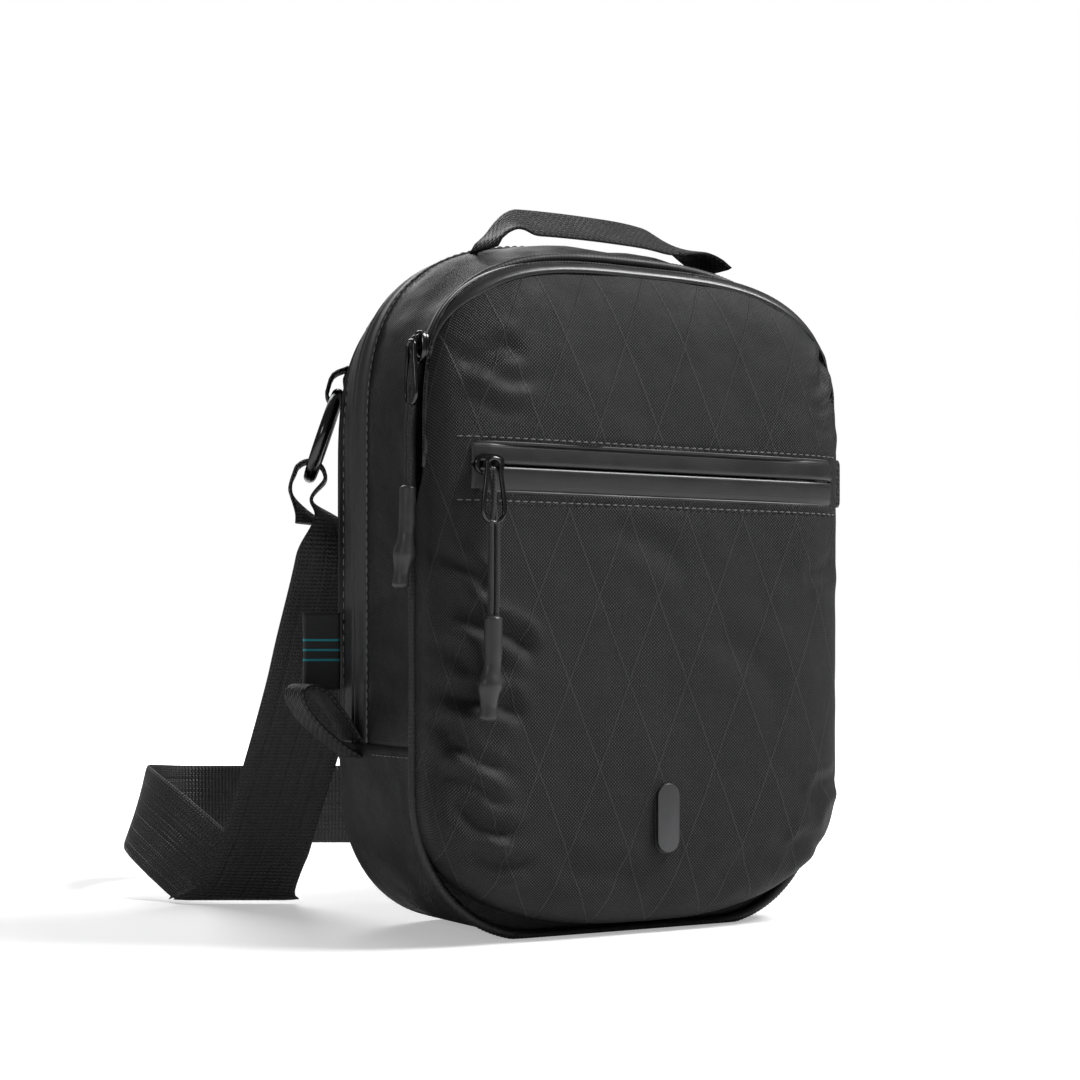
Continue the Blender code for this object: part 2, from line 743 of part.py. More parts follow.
def ring_sag(width):
    """How far the ring curves away from a flat band of this width."""
    return RING_RADIUS - math.sqrt(RING_RADIUS ** 2 - (width / 2) ** 2)


# Least height of the strap's lower edge
FLOOR_GAP = 1.4 * MM

# Where the strap's sewn tail ends, and where its run leaves the left ring
STRAP_TAIL = Vector((-96.5, 70.5, 164.0)) * MM
STRAP_EXIT = Vector((-91.5, 64.5, 165.0)) * MM


def strap_left():
    """Route points of the left run and the floor loop, with the strap's width direction."""
    centre, view, hang = ring_frame(-1)
    foot = centre + hang * RING_RADIUS
    away = view.cross(hang)
    if away.x < 0:
        away = -away
    radius = RING_WIRE + GAP + STRAP_THICK / 2 + ring_sag(BUNCH_WIDTH) + 0.3 * MM
    route = [(STRAP_TAIL, Vector((0.80, 0.60, 0.0))), (foot + hang * 9 * MM - away * radius * 0.8, view)]
    for i in range(7):
        turn = math.pi * i / 6
        point = foot - away * radius * math.cos(turn) - hang * radius * math.sin(turn)
        route.append((point, view))
    route.append((foot + hang * 9 * MM + away * radius * 0.6, view))
    route.append((STRAP_EXIT, Vector((0.80, 0.60, 0.0))))
    return route


STRAP_MIDDLE = (
    ((-88.5, 64.5, 148), (1.0, 0.08, 0.0)),
    ((-87.5, 84, 112), (0.95, -0.31, 0.0)),
    ((-87.5, 98, 88), (0.88, -0.47, 0.0)),
    ((-90.0, 122, 47), (0.85, -0.53, 0.0)),
    ((-93.0, 136, 21), (0.85, -0.53, 0.0)),
    ((-99.5, 148.5, 1.8), (0.85, -0.53, 0.0)),
    ((-108.3, 163.3, 14), (0.70, -0.41, 0.57)),
    ((-116.5, 186, 27), (0.58, -0.30, 0.74)),
    ((-119.7, 217, 38), (0.34, -0.20, 0.92)),
    ((-106.0, 249, 38), (0.10, -0.05, 0.99)),
    ((-80.0, 267, 36), (0.0, 0.0, 1.0)),
    ((-48.5, 247, 36), (0.0, 0.0, 1.0)),
    ((-15.0, 226.5, 36), (0.0, 0.0, 1.0)),
    ((30.0, 199, 36), (0.0, 0.02, 1.0)),
    ((74.0, 174, 38), (0.0, 0.10, 0.99)),
    ((104.0, 154, 49), (-0.30, 0.40, 0.87)),
    ((116.0, 131, 73), (-0.52, 0.66, 0.50)),
)

# The straight stretch that carries the adjuster starts here and ends at the right ring
ADJUSTER_START = Vector((117 * MM, 112 * MM, 100 * MM))
ADJUSTER_SHARE = 0.28


def strap_right():
    """Route points of the straight right run, up to the loop round the right ring."""
    return [(mirrored(p), mirrored(w)) for p, w in reversed(strap_left())]


def strap_points():
    left = strap_left()
    right = strap_right()
    middle = [(Vector(p) * MM, Vector(w)) for p, w in STRAP_MIDDLE]
    halfway = lerp(ADJUSTER_START, right[0][0], 0.55)
    before = [(ADJUSTER_START, Vector((-0.62, 0.72, 0.15))), (halfway, Vector((-0.58, 0.80, 0.0)))]
    nodes = left + middle + before + right
    points = smooth_route([p for p, _ in nodes], 3)
    sides = smooth_route([w for _, w in nodes], 3)
    return points, sides


def strap_widths(points):
    """The strap bunches where it goes through a ring, and is flat elsewhere."""
    feet = []
    for side in (-1, 1):
        centre, view, hang = ring_frame(side)
        feet.append(centre + hang * RING_RADIUS)
    widths = []
    for point in points:
        near = min((point - foot).length for foot in feet)
        widths.append(lerp(BUNCH_WIDTH, STRAP_WIDTH, ease((near - 9 * MM) / (26 * MM))))
    return widths


def above_floor(points, sides, widths):
    """The points, raised where the strap's lower edge would go under the floor."""
    raised = []
    for point, run, side, width in zip(points, tangents(points), sides, widths):
        low = point.z - abs(side.normalized().z) * slanted(width, side, run) / 2
        raised.append(point + Vector((0, 0, max(0.0, FLOOR_GAP - low))))
    return raised


def make_strap():
    points, sides = strap_points()
    widths = strap_widths(points)
    for _ in range(3):
        points = above_floor(points, sides, widths)
    ribbon("shoulder_strap", "webbing", points, sides, widths, STRAP_THICK)


def make_adjuster():
    """A tri-glide whose long bars sit outside the strap and whose centre bar sits behind it."""
    last = strap_right()[0][0]
    run = (last - ADJUSTER_START).normalized()
    place_at = lerp(ADJUSTER_START, last, ADJUSTER_SHARE)
    wide = Vector((-0.60, 0.76, 0.07))
    wide = (wide - run * wide.dot(run)).normalized()
    deep = run.cross(wide)
    turn = Matrix((wide, deep, run)).transposed()
    half = STRAP_WIDTH / 2
    bars = []
    bars.append(((-half - 4 * MM, -1.8 * MM, -10 * MM), (-half - 1 * MM, 1.8 * MM, 10 * MM)))
    bars.append(((half + 1 * MM, -1.8 * MM, -10 * MM), (half + 4 * MM, 1.8 * MM, 10 * MM)))
    bars.append(((-half - 2 * MM, 1.6 * MM, -10 * MM), (half + 2 * MM, 4.2 * MM, -7 * MM)))
    bars.append(((-half - 2 * MM, 1.6 * MM, 7 * MM), (half + 2 * MM, 4.2 * MM, 10 * MM)))
    bars.append(((-half - 2 * MM, -4.4 * MM, -2 * MM), (half + 2 * MM, -1.5 * MM, 2 * MM)))
    made = None
    for i, (low, high) in enumerate(bars):
        bar = box(f"adjuster_bar_{i}", "black_plastic", low, high, 0.4 * MM)
        bar.data.transform(turn.to_4x4())
        bar.location = place_at
        if made is None:
            made = bar
            made.name = "strap_adjuster"
            continue
        bar.hide_render = True
        bar.display_type = "WIRE"
        join = made.modifiers.new("bar", "BOOLEAN")
        join.operation = "UNION"
        join.solver = "EXACT"
        join.object = bar


# ---------------------------------------------------------------- zips and pullers

def make_slider(name, centre, run, out, origin):
    """A zip slider: a low body with a raised bridge that holds the bail."""
    across = out.cross(run)
    turn = Matrix((run, across, out)).transposed()
    shape = bmesh.new()
    profile = [(-6, 0), (6, 0), (6, 1.6), (3.6, 2.2), (3.0, 3.6), (-3.0, 3.6), (-3.6, 2.2), (-6, 1.6)]
    rows = []
    for side in (-4.2, 4.2):
        rows.append([shape.verts.new(Vector((a * MM, side * MM, b * MM))) for a, b in profile])
    shape.faces.new(rows[0])
    shape.faces.new(rows[1])
    for i in range(len(profile)):
        k = (i + 1) % len(profile)
        shape.faces.new((rows[0][i], rows[0][k], rows[1][k], rows[1][i]))
    bmesh.ops.transform(shape, matrix=Matrix.Translation(centre) @ turn.to_4x4(), verts=shape.verts)
    return place(shape, name, "black_metal", origin)


def make_bail(name, pivot, hang, across, origin, length=BAIL_LENGTH):
    """A wire loop that hangs from a slider. Its crossbar lies on the pivot."""
    half = BAIL_WIDTH / 2 - BAIL_WIRE
    points = []
    for i in range(9):
        turn = math.pi * i / 8
        drop = half * BAIL_SHOULDER * (1 - math.sin(turn))
        points.append(pivot + across * half * math.cos(turn) + hang * drop)
    for i in range(9):
        turn = math.pi + math.pi * i / 8
        centre = pivot + hang * (length - half)
        points.append(centre + across * half * math.cos(turn) - hang * half * math.sin(turn))
    return wire(name, "black_metal", points, BAIL_WIRE, closed=True, sides=6, origin=origin)


def make_pull_cord(prefix, route, end_run, origin):
    """The cord that hangs from a bail, and the moulded end that grips it."""
    cord(f"{prefix}_cord", smooth_route(route, 4), CORD_DIAMETER, origin)
    points = smooth_route(end_run, 3)
    rings = []
    radii = []
    for i in range(len(points)):
        share = i / (len(points) - 1)
        radii.append(END_RADIUS * (0.92 + 0.22 * math.exp(-((share - 0.62) / 0.12) ** 2)))
    for point, run, radius in zip(points, tangents(points), radii):
        one = run.cross(Vector((0, 1, 0))).normalized()
        two = run.cross(one)
        turns = [2 * math.pi * k / 10 for k in range(10)]
        rings.append([point + one * radius * math.cos(t) + two * radius * math.sin(t) for t in turns])
    rods(f"{prefix}_cord_end", "rubber", rings, origin=origin)


POCKET_SLIDER = Vector((-75 * MM, 0, POCKET_Z))


def make_pocket_pull():
    face = cover_y(POCKET_SLIDER.x, POCKET_Z)
    centre = Vector((POCKET_SLIDER.x, face - 0.4 * MM, POCKET_Z))
    out = Vector((0, -1, 0))
    make_slider("pocket_slider", centre, Vector((1, 0, 0)), out, centre)
    pivot = Vector((centre.x, face - 5.2 * MM, POCKET_Z + 2.0 * MM))
    make_bail("pocket_bail", pivot, Vector((0, 0, -1)), Vector((1, 0, 0)), pivot)
    foot = pivot + Vector((0, 0, -BAIL_LENGTH))
    x, y, z = foot
    drop = [Vector((x, y, z - BAIL_WIRE - GAP)),
            Vector((x, y, z - 12 * MM)),
            Vector((x - 0.4 * MM, y - 0.6 * MM, z - 24 * MM)),
            Vector((x - 0.8 * MM, y - 0.8 * MM, z - 34.5 * MM))]
    end = [Vector((x - 0.8 * MM, y - 0.8 * MM, z - 34.8 * MM)),
           Vector((x - 1.0 * MM, y - 0.8 * MM, z - 52 * MM)),
           Vector((x - 2.4 * MM, y - 0.8 * MM, z - 63 * MM)),
           Vector((x - 3.0 * MM, y - 0.8 * MM, z - 74 * MM))]
    make_pull_cord("pocket", drop, end, foot)


def side_pull(prefix, side, height, y, surface, slider_run, drop_x):
    """A puller that hangs down the side of the bag. side is -1 on the left."""
    out = Vector((side, 0, 0))
    centre = Vector((surface + side * 1.0 * MM, y, height))
    make_slider(f"{prefix}_slider", centre, slider_run, out, centre)
    pivot = Vector((surface + side * 5.6 * MM, y, height + 2 * MM))
    make_bail(f"{prefix}_bail", pivot, Vector((0, 0, -1)), Vector((0, 1, 0)), pivot)
    foot = pivot + Vector((0, 0, -BAIL_LENGTH))
    fx, fy, fz = foot
    drop = [Vector((fx, fy, fz - BAIL_WIRE - GAP)),
            Vector((fx + side * 0.6 * MM, fy + 0.8 * MM, fz - 9 * MM)),
            Vector((fx + side * drop_x * 0.5, fy, fz - 20 * MM)),
            Vector((fx + side * drop_x, fy - 0.5 * MM, fz - 30 * MM))]
    end = [Vector((fx + side * drop_x, fy - 0.5 * MM, fz - 30.3 * MM)),
           Vector((fx + side * (drop_x + 0.5 * MM), fy - 0.5 * MM, fz - 47 * MM)),
           Vector((fx + side * (drop_x + 1.6 * MM), fy, fz - 58 * MM)),
           Vector((fx + side * (drop_x + 3 * MM), fy, fz - 69 * MM))]
    make_pull_cord(prefix, drop, end, foot)


FRONT_SLIDER_Z = 226 * MM
MAIN_SLIDER_Z = 112 * MM


def make_pullers():
    make_pocket_pull()
    share = (FRONT_SLIDER_Z - (COVER_TOP - COVER_TOP_RISE)) / COVER_TOP_RISE
    reach = COVER_HALF * (1 - share ** COVER_TOP_POWER) ** (1 / COVER_TOP_POWER)
    side_pull("front", -1, FRONT_SLIDER_Z, Y_FRONT_ZIP, -reach - 1.6 * MM, Vector((0, 0, 1)), 1.5 * MM)
    half = body_size(Y_ZIP_LINE)[0]
    side_pull("main", 1, MAIN_SLIDER_Z, Y_ZIP_LINE, half + 0.8 * MM, Vector((0, 0, 1)), 1.0 * MM)


# ---------------------------------------------------------------- assembly

def main():
    clear_scene()
    make_main_body()
    make_back_panel()
    make_front_panel()
    make_front_fixed()
    make_handle()
    make_loops()
    for word, side in (("left", -1), ("right", 1)):
        make_ring(f"{word}_ring", side)
        make_ring_tab(f"{word}_ring_tab", side)
    make_strap()
    make_adjuster()
    make_pullers()


main()
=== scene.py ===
"""Looks of the sling bag: fabric shells, zips, webbing, cords, hardware and stitching.

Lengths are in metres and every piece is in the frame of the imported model.
"""

import json
import math

import bmesh
import bpy
import numpy as np
from mathutils import Matrix, Vector, noise
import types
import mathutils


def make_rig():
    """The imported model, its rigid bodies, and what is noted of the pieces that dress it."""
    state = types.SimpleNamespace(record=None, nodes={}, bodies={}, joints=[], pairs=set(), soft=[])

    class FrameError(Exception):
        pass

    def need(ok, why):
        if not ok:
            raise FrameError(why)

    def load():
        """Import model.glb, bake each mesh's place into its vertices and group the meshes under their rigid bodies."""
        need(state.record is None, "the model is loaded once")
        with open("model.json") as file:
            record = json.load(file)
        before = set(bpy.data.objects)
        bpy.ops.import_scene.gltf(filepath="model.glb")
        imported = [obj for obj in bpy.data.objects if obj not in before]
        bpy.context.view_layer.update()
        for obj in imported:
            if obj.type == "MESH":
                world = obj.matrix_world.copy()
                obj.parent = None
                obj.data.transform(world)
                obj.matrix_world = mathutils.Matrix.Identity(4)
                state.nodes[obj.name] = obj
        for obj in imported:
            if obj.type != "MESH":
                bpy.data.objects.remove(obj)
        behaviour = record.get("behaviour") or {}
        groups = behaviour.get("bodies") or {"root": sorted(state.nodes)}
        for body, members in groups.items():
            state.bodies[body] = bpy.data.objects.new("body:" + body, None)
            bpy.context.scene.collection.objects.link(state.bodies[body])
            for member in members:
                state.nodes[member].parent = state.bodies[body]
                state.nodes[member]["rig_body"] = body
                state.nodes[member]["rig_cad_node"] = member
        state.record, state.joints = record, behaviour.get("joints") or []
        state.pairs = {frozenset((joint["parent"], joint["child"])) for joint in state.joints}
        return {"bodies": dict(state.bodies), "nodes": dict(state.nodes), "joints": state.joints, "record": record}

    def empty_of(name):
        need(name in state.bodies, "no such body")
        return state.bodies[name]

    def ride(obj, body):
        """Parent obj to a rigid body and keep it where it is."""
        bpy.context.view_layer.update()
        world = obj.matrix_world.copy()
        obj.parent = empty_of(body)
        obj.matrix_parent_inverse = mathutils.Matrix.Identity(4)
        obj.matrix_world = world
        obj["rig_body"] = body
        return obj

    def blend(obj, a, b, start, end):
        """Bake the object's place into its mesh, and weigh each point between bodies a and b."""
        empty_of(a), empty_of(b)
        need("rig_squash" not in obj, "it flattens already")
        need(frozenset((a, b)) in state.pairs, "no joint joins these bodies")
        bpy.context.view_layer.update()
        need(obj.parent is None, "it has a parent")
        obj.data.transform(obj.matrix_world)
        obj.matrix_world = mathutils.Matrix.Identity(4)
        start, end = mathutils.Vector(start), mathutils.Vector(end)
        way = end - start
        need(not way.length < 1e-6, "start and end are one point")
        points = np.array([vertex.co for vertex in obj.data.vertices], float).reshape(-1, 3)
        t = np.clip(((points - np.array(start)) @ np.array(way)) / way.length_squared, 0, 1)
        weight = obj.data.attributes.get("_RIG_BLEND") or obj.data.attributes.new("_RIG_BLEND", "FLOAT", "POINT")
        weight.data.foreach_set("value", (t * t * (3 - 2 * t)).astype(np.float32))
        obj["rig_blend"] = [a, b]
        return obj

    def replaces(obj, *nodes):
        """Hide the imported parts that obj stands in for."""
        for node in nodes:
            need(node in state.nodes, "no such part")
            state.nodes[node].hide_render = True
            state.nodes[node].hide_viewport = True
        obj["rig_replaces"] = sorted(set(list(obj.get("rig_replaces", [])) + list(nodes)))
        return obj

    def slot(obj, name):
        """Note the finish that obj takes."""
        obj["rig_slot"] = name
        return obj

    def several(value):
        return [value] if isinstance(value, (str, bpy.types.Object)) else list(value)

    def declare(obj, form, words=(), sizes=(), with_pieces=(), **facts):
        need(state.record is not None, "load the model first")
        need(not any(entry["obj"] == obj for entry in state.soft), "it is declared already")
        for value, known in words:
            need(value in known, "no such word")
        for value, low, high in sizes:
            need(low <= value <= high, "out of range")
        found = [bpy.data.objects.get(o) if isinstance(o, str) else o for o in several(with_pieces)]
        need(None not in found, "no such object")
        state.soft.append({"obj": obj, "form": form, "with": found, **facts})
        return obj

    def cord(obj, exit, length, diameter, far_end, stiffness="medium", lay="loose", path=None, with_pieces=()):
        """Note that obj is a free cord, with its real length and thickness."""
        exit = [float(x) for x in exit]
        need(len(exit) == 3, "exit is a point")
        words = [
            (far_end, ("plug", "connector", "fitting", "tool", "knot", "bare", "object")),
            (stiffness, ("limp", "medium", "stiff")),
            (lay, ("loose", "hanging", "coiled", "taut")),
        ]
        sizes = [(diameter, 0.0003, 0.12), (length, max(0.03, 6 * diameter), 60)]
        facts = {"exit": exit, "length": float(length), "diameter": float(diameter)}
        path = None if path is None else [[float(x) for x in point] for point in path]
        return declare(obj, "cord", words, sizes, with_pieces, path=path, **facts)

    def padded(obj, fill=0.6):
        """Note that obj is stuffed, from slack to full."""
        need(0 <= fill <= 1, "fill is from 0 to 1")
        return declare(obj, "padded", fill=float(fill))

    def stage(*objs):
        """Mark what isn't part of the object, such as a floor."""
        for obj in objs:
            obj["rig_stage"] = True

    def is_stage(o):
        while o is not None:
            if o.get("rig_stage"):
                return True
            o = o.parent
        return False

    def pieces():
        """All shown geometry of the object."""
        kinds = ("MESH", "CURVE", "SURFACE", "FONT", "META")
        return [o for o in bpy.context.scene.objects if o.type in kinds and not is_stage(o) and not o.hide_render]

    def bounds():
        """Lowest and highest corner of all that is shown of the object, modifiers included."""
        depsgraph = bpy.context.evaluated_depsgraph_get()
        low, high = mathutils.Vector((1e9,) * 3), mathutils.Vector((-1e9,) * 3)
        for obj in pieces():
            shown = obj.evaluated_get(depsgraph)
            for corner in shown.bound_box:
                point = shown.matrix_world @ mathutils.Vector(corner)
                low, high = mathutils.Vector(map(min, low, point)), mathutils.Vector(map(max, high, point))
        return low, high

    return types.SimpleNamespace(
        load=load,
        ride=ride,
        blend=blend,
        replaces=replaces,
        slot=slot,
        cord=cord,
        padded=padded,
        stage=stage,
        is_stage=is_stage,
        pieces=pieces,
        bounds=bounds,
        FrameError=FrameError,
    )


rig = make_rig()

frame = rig.load()
CAD_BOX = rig.bounds()
MM = 0.001

# ---------------------------------------------------------------- shape of the bag

SEAM_HALF, BODY_HALF, BACK_HALF = 95 * MM, 96 * MM, 93.5 * MM
SEAM_TOP, BODY_TOP, BACK_TOP = 268 * MM, 278 * MM, 270 * MM
Y_SEAM, Y_CROWN, Y_BACK = -21 * MM, 10 * MM, 50 * MM
TOP_RISE, TOP_POWER = 85 * MM, 2.9
BASE_FLAT, BASE_RISE, BASE_POWER = 40 * MM, 60 * MM, 2.15
HEM_Z = 75 * MM
Y_TAPE_FRONT, Y_ZIP_LINE, Y_TAPE_REAR = 19 * MM, 30 * MM, 41 * MM

COVER_HALF, COVER_BASE, COVER_TOP = 95 * MM, 4 * MM, 263 * MM
COVER_TOP_RISE, COVER_TOP_POWER = 73 * MM, 3.3
COVER_BASE_RISE, COVER_BASE_POWER = 56 * MM, 2.5
COVER_SIDE, COVER_CROWN = 9 * MM, 15 * MM
COVER_FULLNESS, COVER_EDGE_POWER = 8, 2.2
COVER_LEAN, COVER_TUCK = 7 * MM, 6 * MM
TOP_SPRING = COVER_TOP - COVER_TOP_RISE
BASE_SPRING = COVER_BASE + COVER_BASE_RISE
FRONT_ZIP_RIM = -32.3 * MM

POCKET_Z, POCKET_LOW, POCKET_HIGH = 181.6 * MM, 171.6 * MM, 190.0 * MM
POCKET_LEFT, POCKET_RIGHT = -80 * MM, 85 * MM
BADGE = (4 * MM, 46 * MM)


def lerp(a, b, t):
    return a + (b - a) * t


def ease(t):
    t = min(max(t, 0.0), 1.0)
    return t * t * (3 - 2 * t)


def bump(value, centre, width):
    return math.exp(-((value - centre) / width) ** 2)


def corner(reach, rise, power, steps):
    turns = [math.pi / 2 * i / steps for i in range(steps + 1)]
    return [(reach * math.cos(t) ** (2 / power), rise * math.sin(t) ** (2 / power)) for t in turns]


def body_size(y):
    if y <= Y_CROWN:
        t = ease((y - Y_SEAM) / (Y_CROWN - Y_SEAM))
        return lerp(SEAM_HALF, BODY_HALF, t), lerp(SEAM_TOP, BODY_TOP, t)
    t = ((y - Y_CROWN) / (Y_BACK - Y_CROWN)) ** 2
    return lerp(BODY_HALF, BACK_HALF, t), lerp(BODY_TOP, BACK_TOP, t)


def arch(y, inset=0.0, low=HEM_Z, straight=34, steps=44):
    """Points over the top of the body at a depth, from the left hem to the right hem."""
    half, top = body_size(y)
    half, top = half - inset, top - inset
    spring = top - TOP_RISE
    left = [(-half, lerp(low, spring, i / straight)) for i in range(straight)]
    left += [(-x, spring + z) for x, z in corner(half, TOP_RISE, TOP_POWER, steps)]
    right = [(-x, z) for x, z in reversed(left[:-1])]
    return [Vector((x, y, z)) for x, z in left + right]


def trough(y, inset=0.0, high=HEM_Z, steps=30, flat=24):
    """Points round the base of the body at a depth, from the left hem to the right hem."""
    half = body_size(y)[0] - inset
    curve = corner(half - BASE_FLAT, BASE_RISE - inset, BASE_POWER, steps)
    left = [(-half, lerp(high, BASE_RISE, i / 6)) for i in range(6)]
    left += [(-BASE_FLAT - x, BASE_RISE - z) for x, z in curve]
    left += [(-BASE_FLAT * (1 - i / flat), inset) for i in range(1, flat + 1)]
    right = [(-x, z) for x, z in reversed(left[:-1])]
    return [Vector((x, y, z)) for x, z in left + right]


def cover_depth(rho):
    return COVER_SIDE + COVER_CROWN * max(0.0, 1 - rho ** COVER_FULLNESS) ** (1 / COVER_EDGE_POWER)


def cover_level(x, z):
    side = abs(x) / COVER_HALF
    if z > TOP_SPRING:
        rise = (z - TOP_SPRING) / COVER_TOP_RISE
        return (side ** COVER_TOP_POWER + rise ** COVER_TOP_POWER) ** (1 / COVER_TOP_POWER)
    if z < BASE_SPRING:
        drop = (BASE_SPRING - z) / COVER_BASE_RISE
        return (side ** COVER_BASE_POWER + drop ** COVER_BASE_POWER) ** (1 / COVER_BASE_POWER)
    return side


def leaned(depth, z):
    up = max(0.0, (z - TOP_SPRING) / COVER_TOP_RISE)
    down = max(0.0, (BASE_SPRING - z) / COVER_BASE_RISE)
    share = max(0.0, depth - COVER_SIDE) / COVER_CROWN
    return Y_SEAM - depth + share * (COVER_LEAN * up ** 2 + COVER_TUCK * down ** 2)


def cover_y(x, z):
    return leaned(cover_depth(min(1.0, cover_level(x, z))), z)


def cover_ring(rho, inset=0.0, top_steps=34, side_steps=44, base_steps=30):
    half = (COVER_HALF - inset) * rho
    low = corner(half, (COVER_BASE_RISE - inset) * rho, COVER_BASE_POWER, base_steps)
    high = corner(half, (COVER_TOP_RISE - inset) * rho, COVER_TOP_POWER, top_steps)
    left = [(-x, BASE_SPRING - z) for x, z in reversed(low)]
    left += [(-half, z) for z in side_levels(side_steps)]
    left += [(-x, TOP_SPRING + z) for x, z in high]
    right = [(-x, z) for x, z in reversed(left[1:-1])]
    return left + right


def side_levels(steps):
    """Heights between the two springs. One of them is the slot's lower edge."""
    below = round(steps * 0.85)
    above = steps - below
    heights = [lerp(BASE_SPRING, POCKET_LOW, i / below) for i in range(1, below + 1)]
    return heights + [lerp(POCKET_LOW, TOP_SPRING, i / above) for i in range(1, above)]


def rim_start(z):
    return lerp(Y_SEAM - 0.3 * MM, FRONT_ZIP_RIM, ease((z - 156 * MM) / (32 * MM)))


def cover_arch(y, inset=0.0, steps=60, low=196 * MM):
    half = COVER_HALF - inset
    left = [(-half, low)]
    curve = corner(half, COVER_TOP_RISE - inset, COVER_TOP_POWER, steps)
    left += [(-x, TOP_SPRING + z) for x, z in curve if TOP_SPRING + z > low + MM]
    right = [(-x, z) for x, z in reversed(left[:-1])]
    return [Vector((x, y, z)) for x, z in left + right]


# ---------------------------------------------------------------- meshes

def link(name, mesh):
    made = bpy.data.objects.new(name, mesh)
    bpy.context.scene.collection.objects.link(made)
    return made


def grid(name, rows, uv=None, wrap=False):
    """A sheet through rows of points. uv holds a pair in millimetres for each point."""
    shape = bmesh.new()
    layer = shape.loops.layers.uv.new("UVMap")
    made = [[shape.verts.new(p) for p in row] for row in rows]
    columns = len(rows[0])
    if uv is None:
        uv = lengths(rows)
    for i in range(len(rows) - 1):
        for j in range(columns if wrap else columns - 1):
            k = (j + 1) % columns
            face = shape.faces.new((made[i][j], made[i][k], made[i + 1][k], made[i + 1][j]))
            places = (uv[i][j], uv[i][k], uv[i + 1][k], uv[i + 1][j])
            if wrap and k == 0:
                turn = uv[i][j][0] * 2 - uv[i][j - 1][0]
                places = (uv[i][j], (turn, uv[i][k][1]), (turn, uv[i + 1][k][1]), uv[i + 1][j])
            for loop, place in zip(face.loops, places):
                loop[layer].uv = place
    bmesh.ops.recalc_face_normals(shape, faces=shape.faces)
    mesh = bpy.data.meshes.new(name)
    shape.to_mesh(mesh)
    shape.free()
    mesh.shade_smooth()
    return link(name, mesh)


def lengths(rows):
    """UV in millimetres from distances along the middle row and across the rows."""
    middle = rows[len(rows) // 2]
    along = [0.0]
    for a, b in zip(middle, middle[1:]):
        along.append(along[-1] + (b - a).length / MM)
    shift = along[-1] / 2
    column = [row[len(row) // 3] for row in rows]
    across = [0.0]
    for a, b in zip(column, column[1:]):
        across.append(across[-1] + (b - a).length / MM)
    return [[(u - shift, v) for u in along] for v in across]


def baked(made):
    """Replaces the mesh with its evaluated one, and clears the modifiers."""
    graph = bpy.context.evaluated_depsgraph_get()
    mesh = bpy.data.meshes.new_from_object(made.evaluated_get(graph))
    made.modifiers.clear()
    made.data = mesh
    return made


def thicken(made, thick, outward=False):
    """Gives a sheet its thickness, inwards, with the second material inside."""
    solid = made.modifiers.new("thickness", "SOLIDIFY")
    solid.thickness = thick
    solid.offset = 1 if outward else -1
    solid.use_even_offset = False
    if len(made.data.materials) > 1:
        solid.material_offset = 1
    return baked(made)


def point_out(made, centre):
    """Turns a sheet's faces so that they look away from a point."""
    mesh = made.data
    total = 0.0
    for face in mesh.polygons:
        total += face.normal.dot(face.center - Vector(centre)) * face.area
    if total < 0:
        mesh.flip_normals()
    return made


def push(made, amount):
    """Moves each vertex along its normal by amount(place, normal)."""
    mesh = made.data
    moved = []
    for vertex in mesh.vertices:
        moved.extend(vertex.co + vertex.normal * amount(vertex.co, vertex.normal))
    mesh.vertices.foreach_set("co", moved)
    mesh.update()
    return made


def tangents(points, closed=False):
    found = []
    count = len(points)
    for i in range(count):
        before = points[i - 1] if closed or i else points[0]
        after = points[(i + 1) % count] if closed or i < count - 1 else points[-1]
        found.append((after - before).normalized())
    return found


def smooth_route(route, steps):
    """Points of a Catmull-Rom curve through the route's own points."""
    ends = [route[0] * 2 - route[1]] + list(route) + [route[-1] * 2 - route[-2]]
    found = []
    for i in range(1, len(ends) - 2):
        a, b, c, d = ends[i - 1:i + 3]
        for k in range(steps):
            t = k / steps
            found.append(
                0.5 * (2 * b + (c - a) * t + (2 * a - 5 * b + 4 * c - d) * t * t
                       + (3 * b - a - 3 * c + d) * t ** 3)
            )
    found.append(route[-1].copy())
    return found


def slanted(width, side, run):
    """The length across a band of this width, along a side that isn't square to its run."""
    lean = side.normalized().dot(run)
    return width / math.sqrt(max(0.5, 1 - lean * lean))


def ribbon(name, points, across, widths, thick, columns=10):
    """Webbing along the points, with rounded edges."""
    if not isinstance(widths, list):
        widths = [widths] * len(points)
    profile = [(lerp(-1, 1, i / columns), 1) for i in range(columns + 1)]
    profile += [(lerp(1, -1, i / columns), -1) for i in range(columns + 1)]
    rows = []
    places = []
    travelled = 0.0
    last = points[0]
    for point, run, side, width in zip(points, tangents(points), across, widths):
        wide = side.normalized()
        deep = run.cross(wide).normalized()
        reach = slanted(width, side, run) / 2
        travelled += (point - last).length / MM
        last = point
        row = []
        place = []
        for a, b in profile:
            height = thick / 2 * b * (1 - 0.75 * abs(a) ** 14)
            row.append(point + wide * (a * reach) + deep * height)
            place.append((a * width / 2 / MM + (200 if b < 0 else 0), travelled))
        rows.append(row)
        places.append(place)
    made = grid(name, rows, places, wrap=True)
    return close_ends(made, len(profile))


def close_ends(made, sides):
    """Fills the first and last ring of a wrapped grid."""
    shape = bmesh.new()
    shape.from_mesh(made.data)
    shape.verts.ensure_lookup_table()
    shape.faces.new(shape.verts[:sides])
    shape.faces.new(shape.verts[-sides:])
    bmesh.ops.recalc_face_normals(shape, faces=shape.faces)
    for face in shape.faces:
        face.smooth = True
    shape.to_mesh(made.data)
    shape.free()
    return made


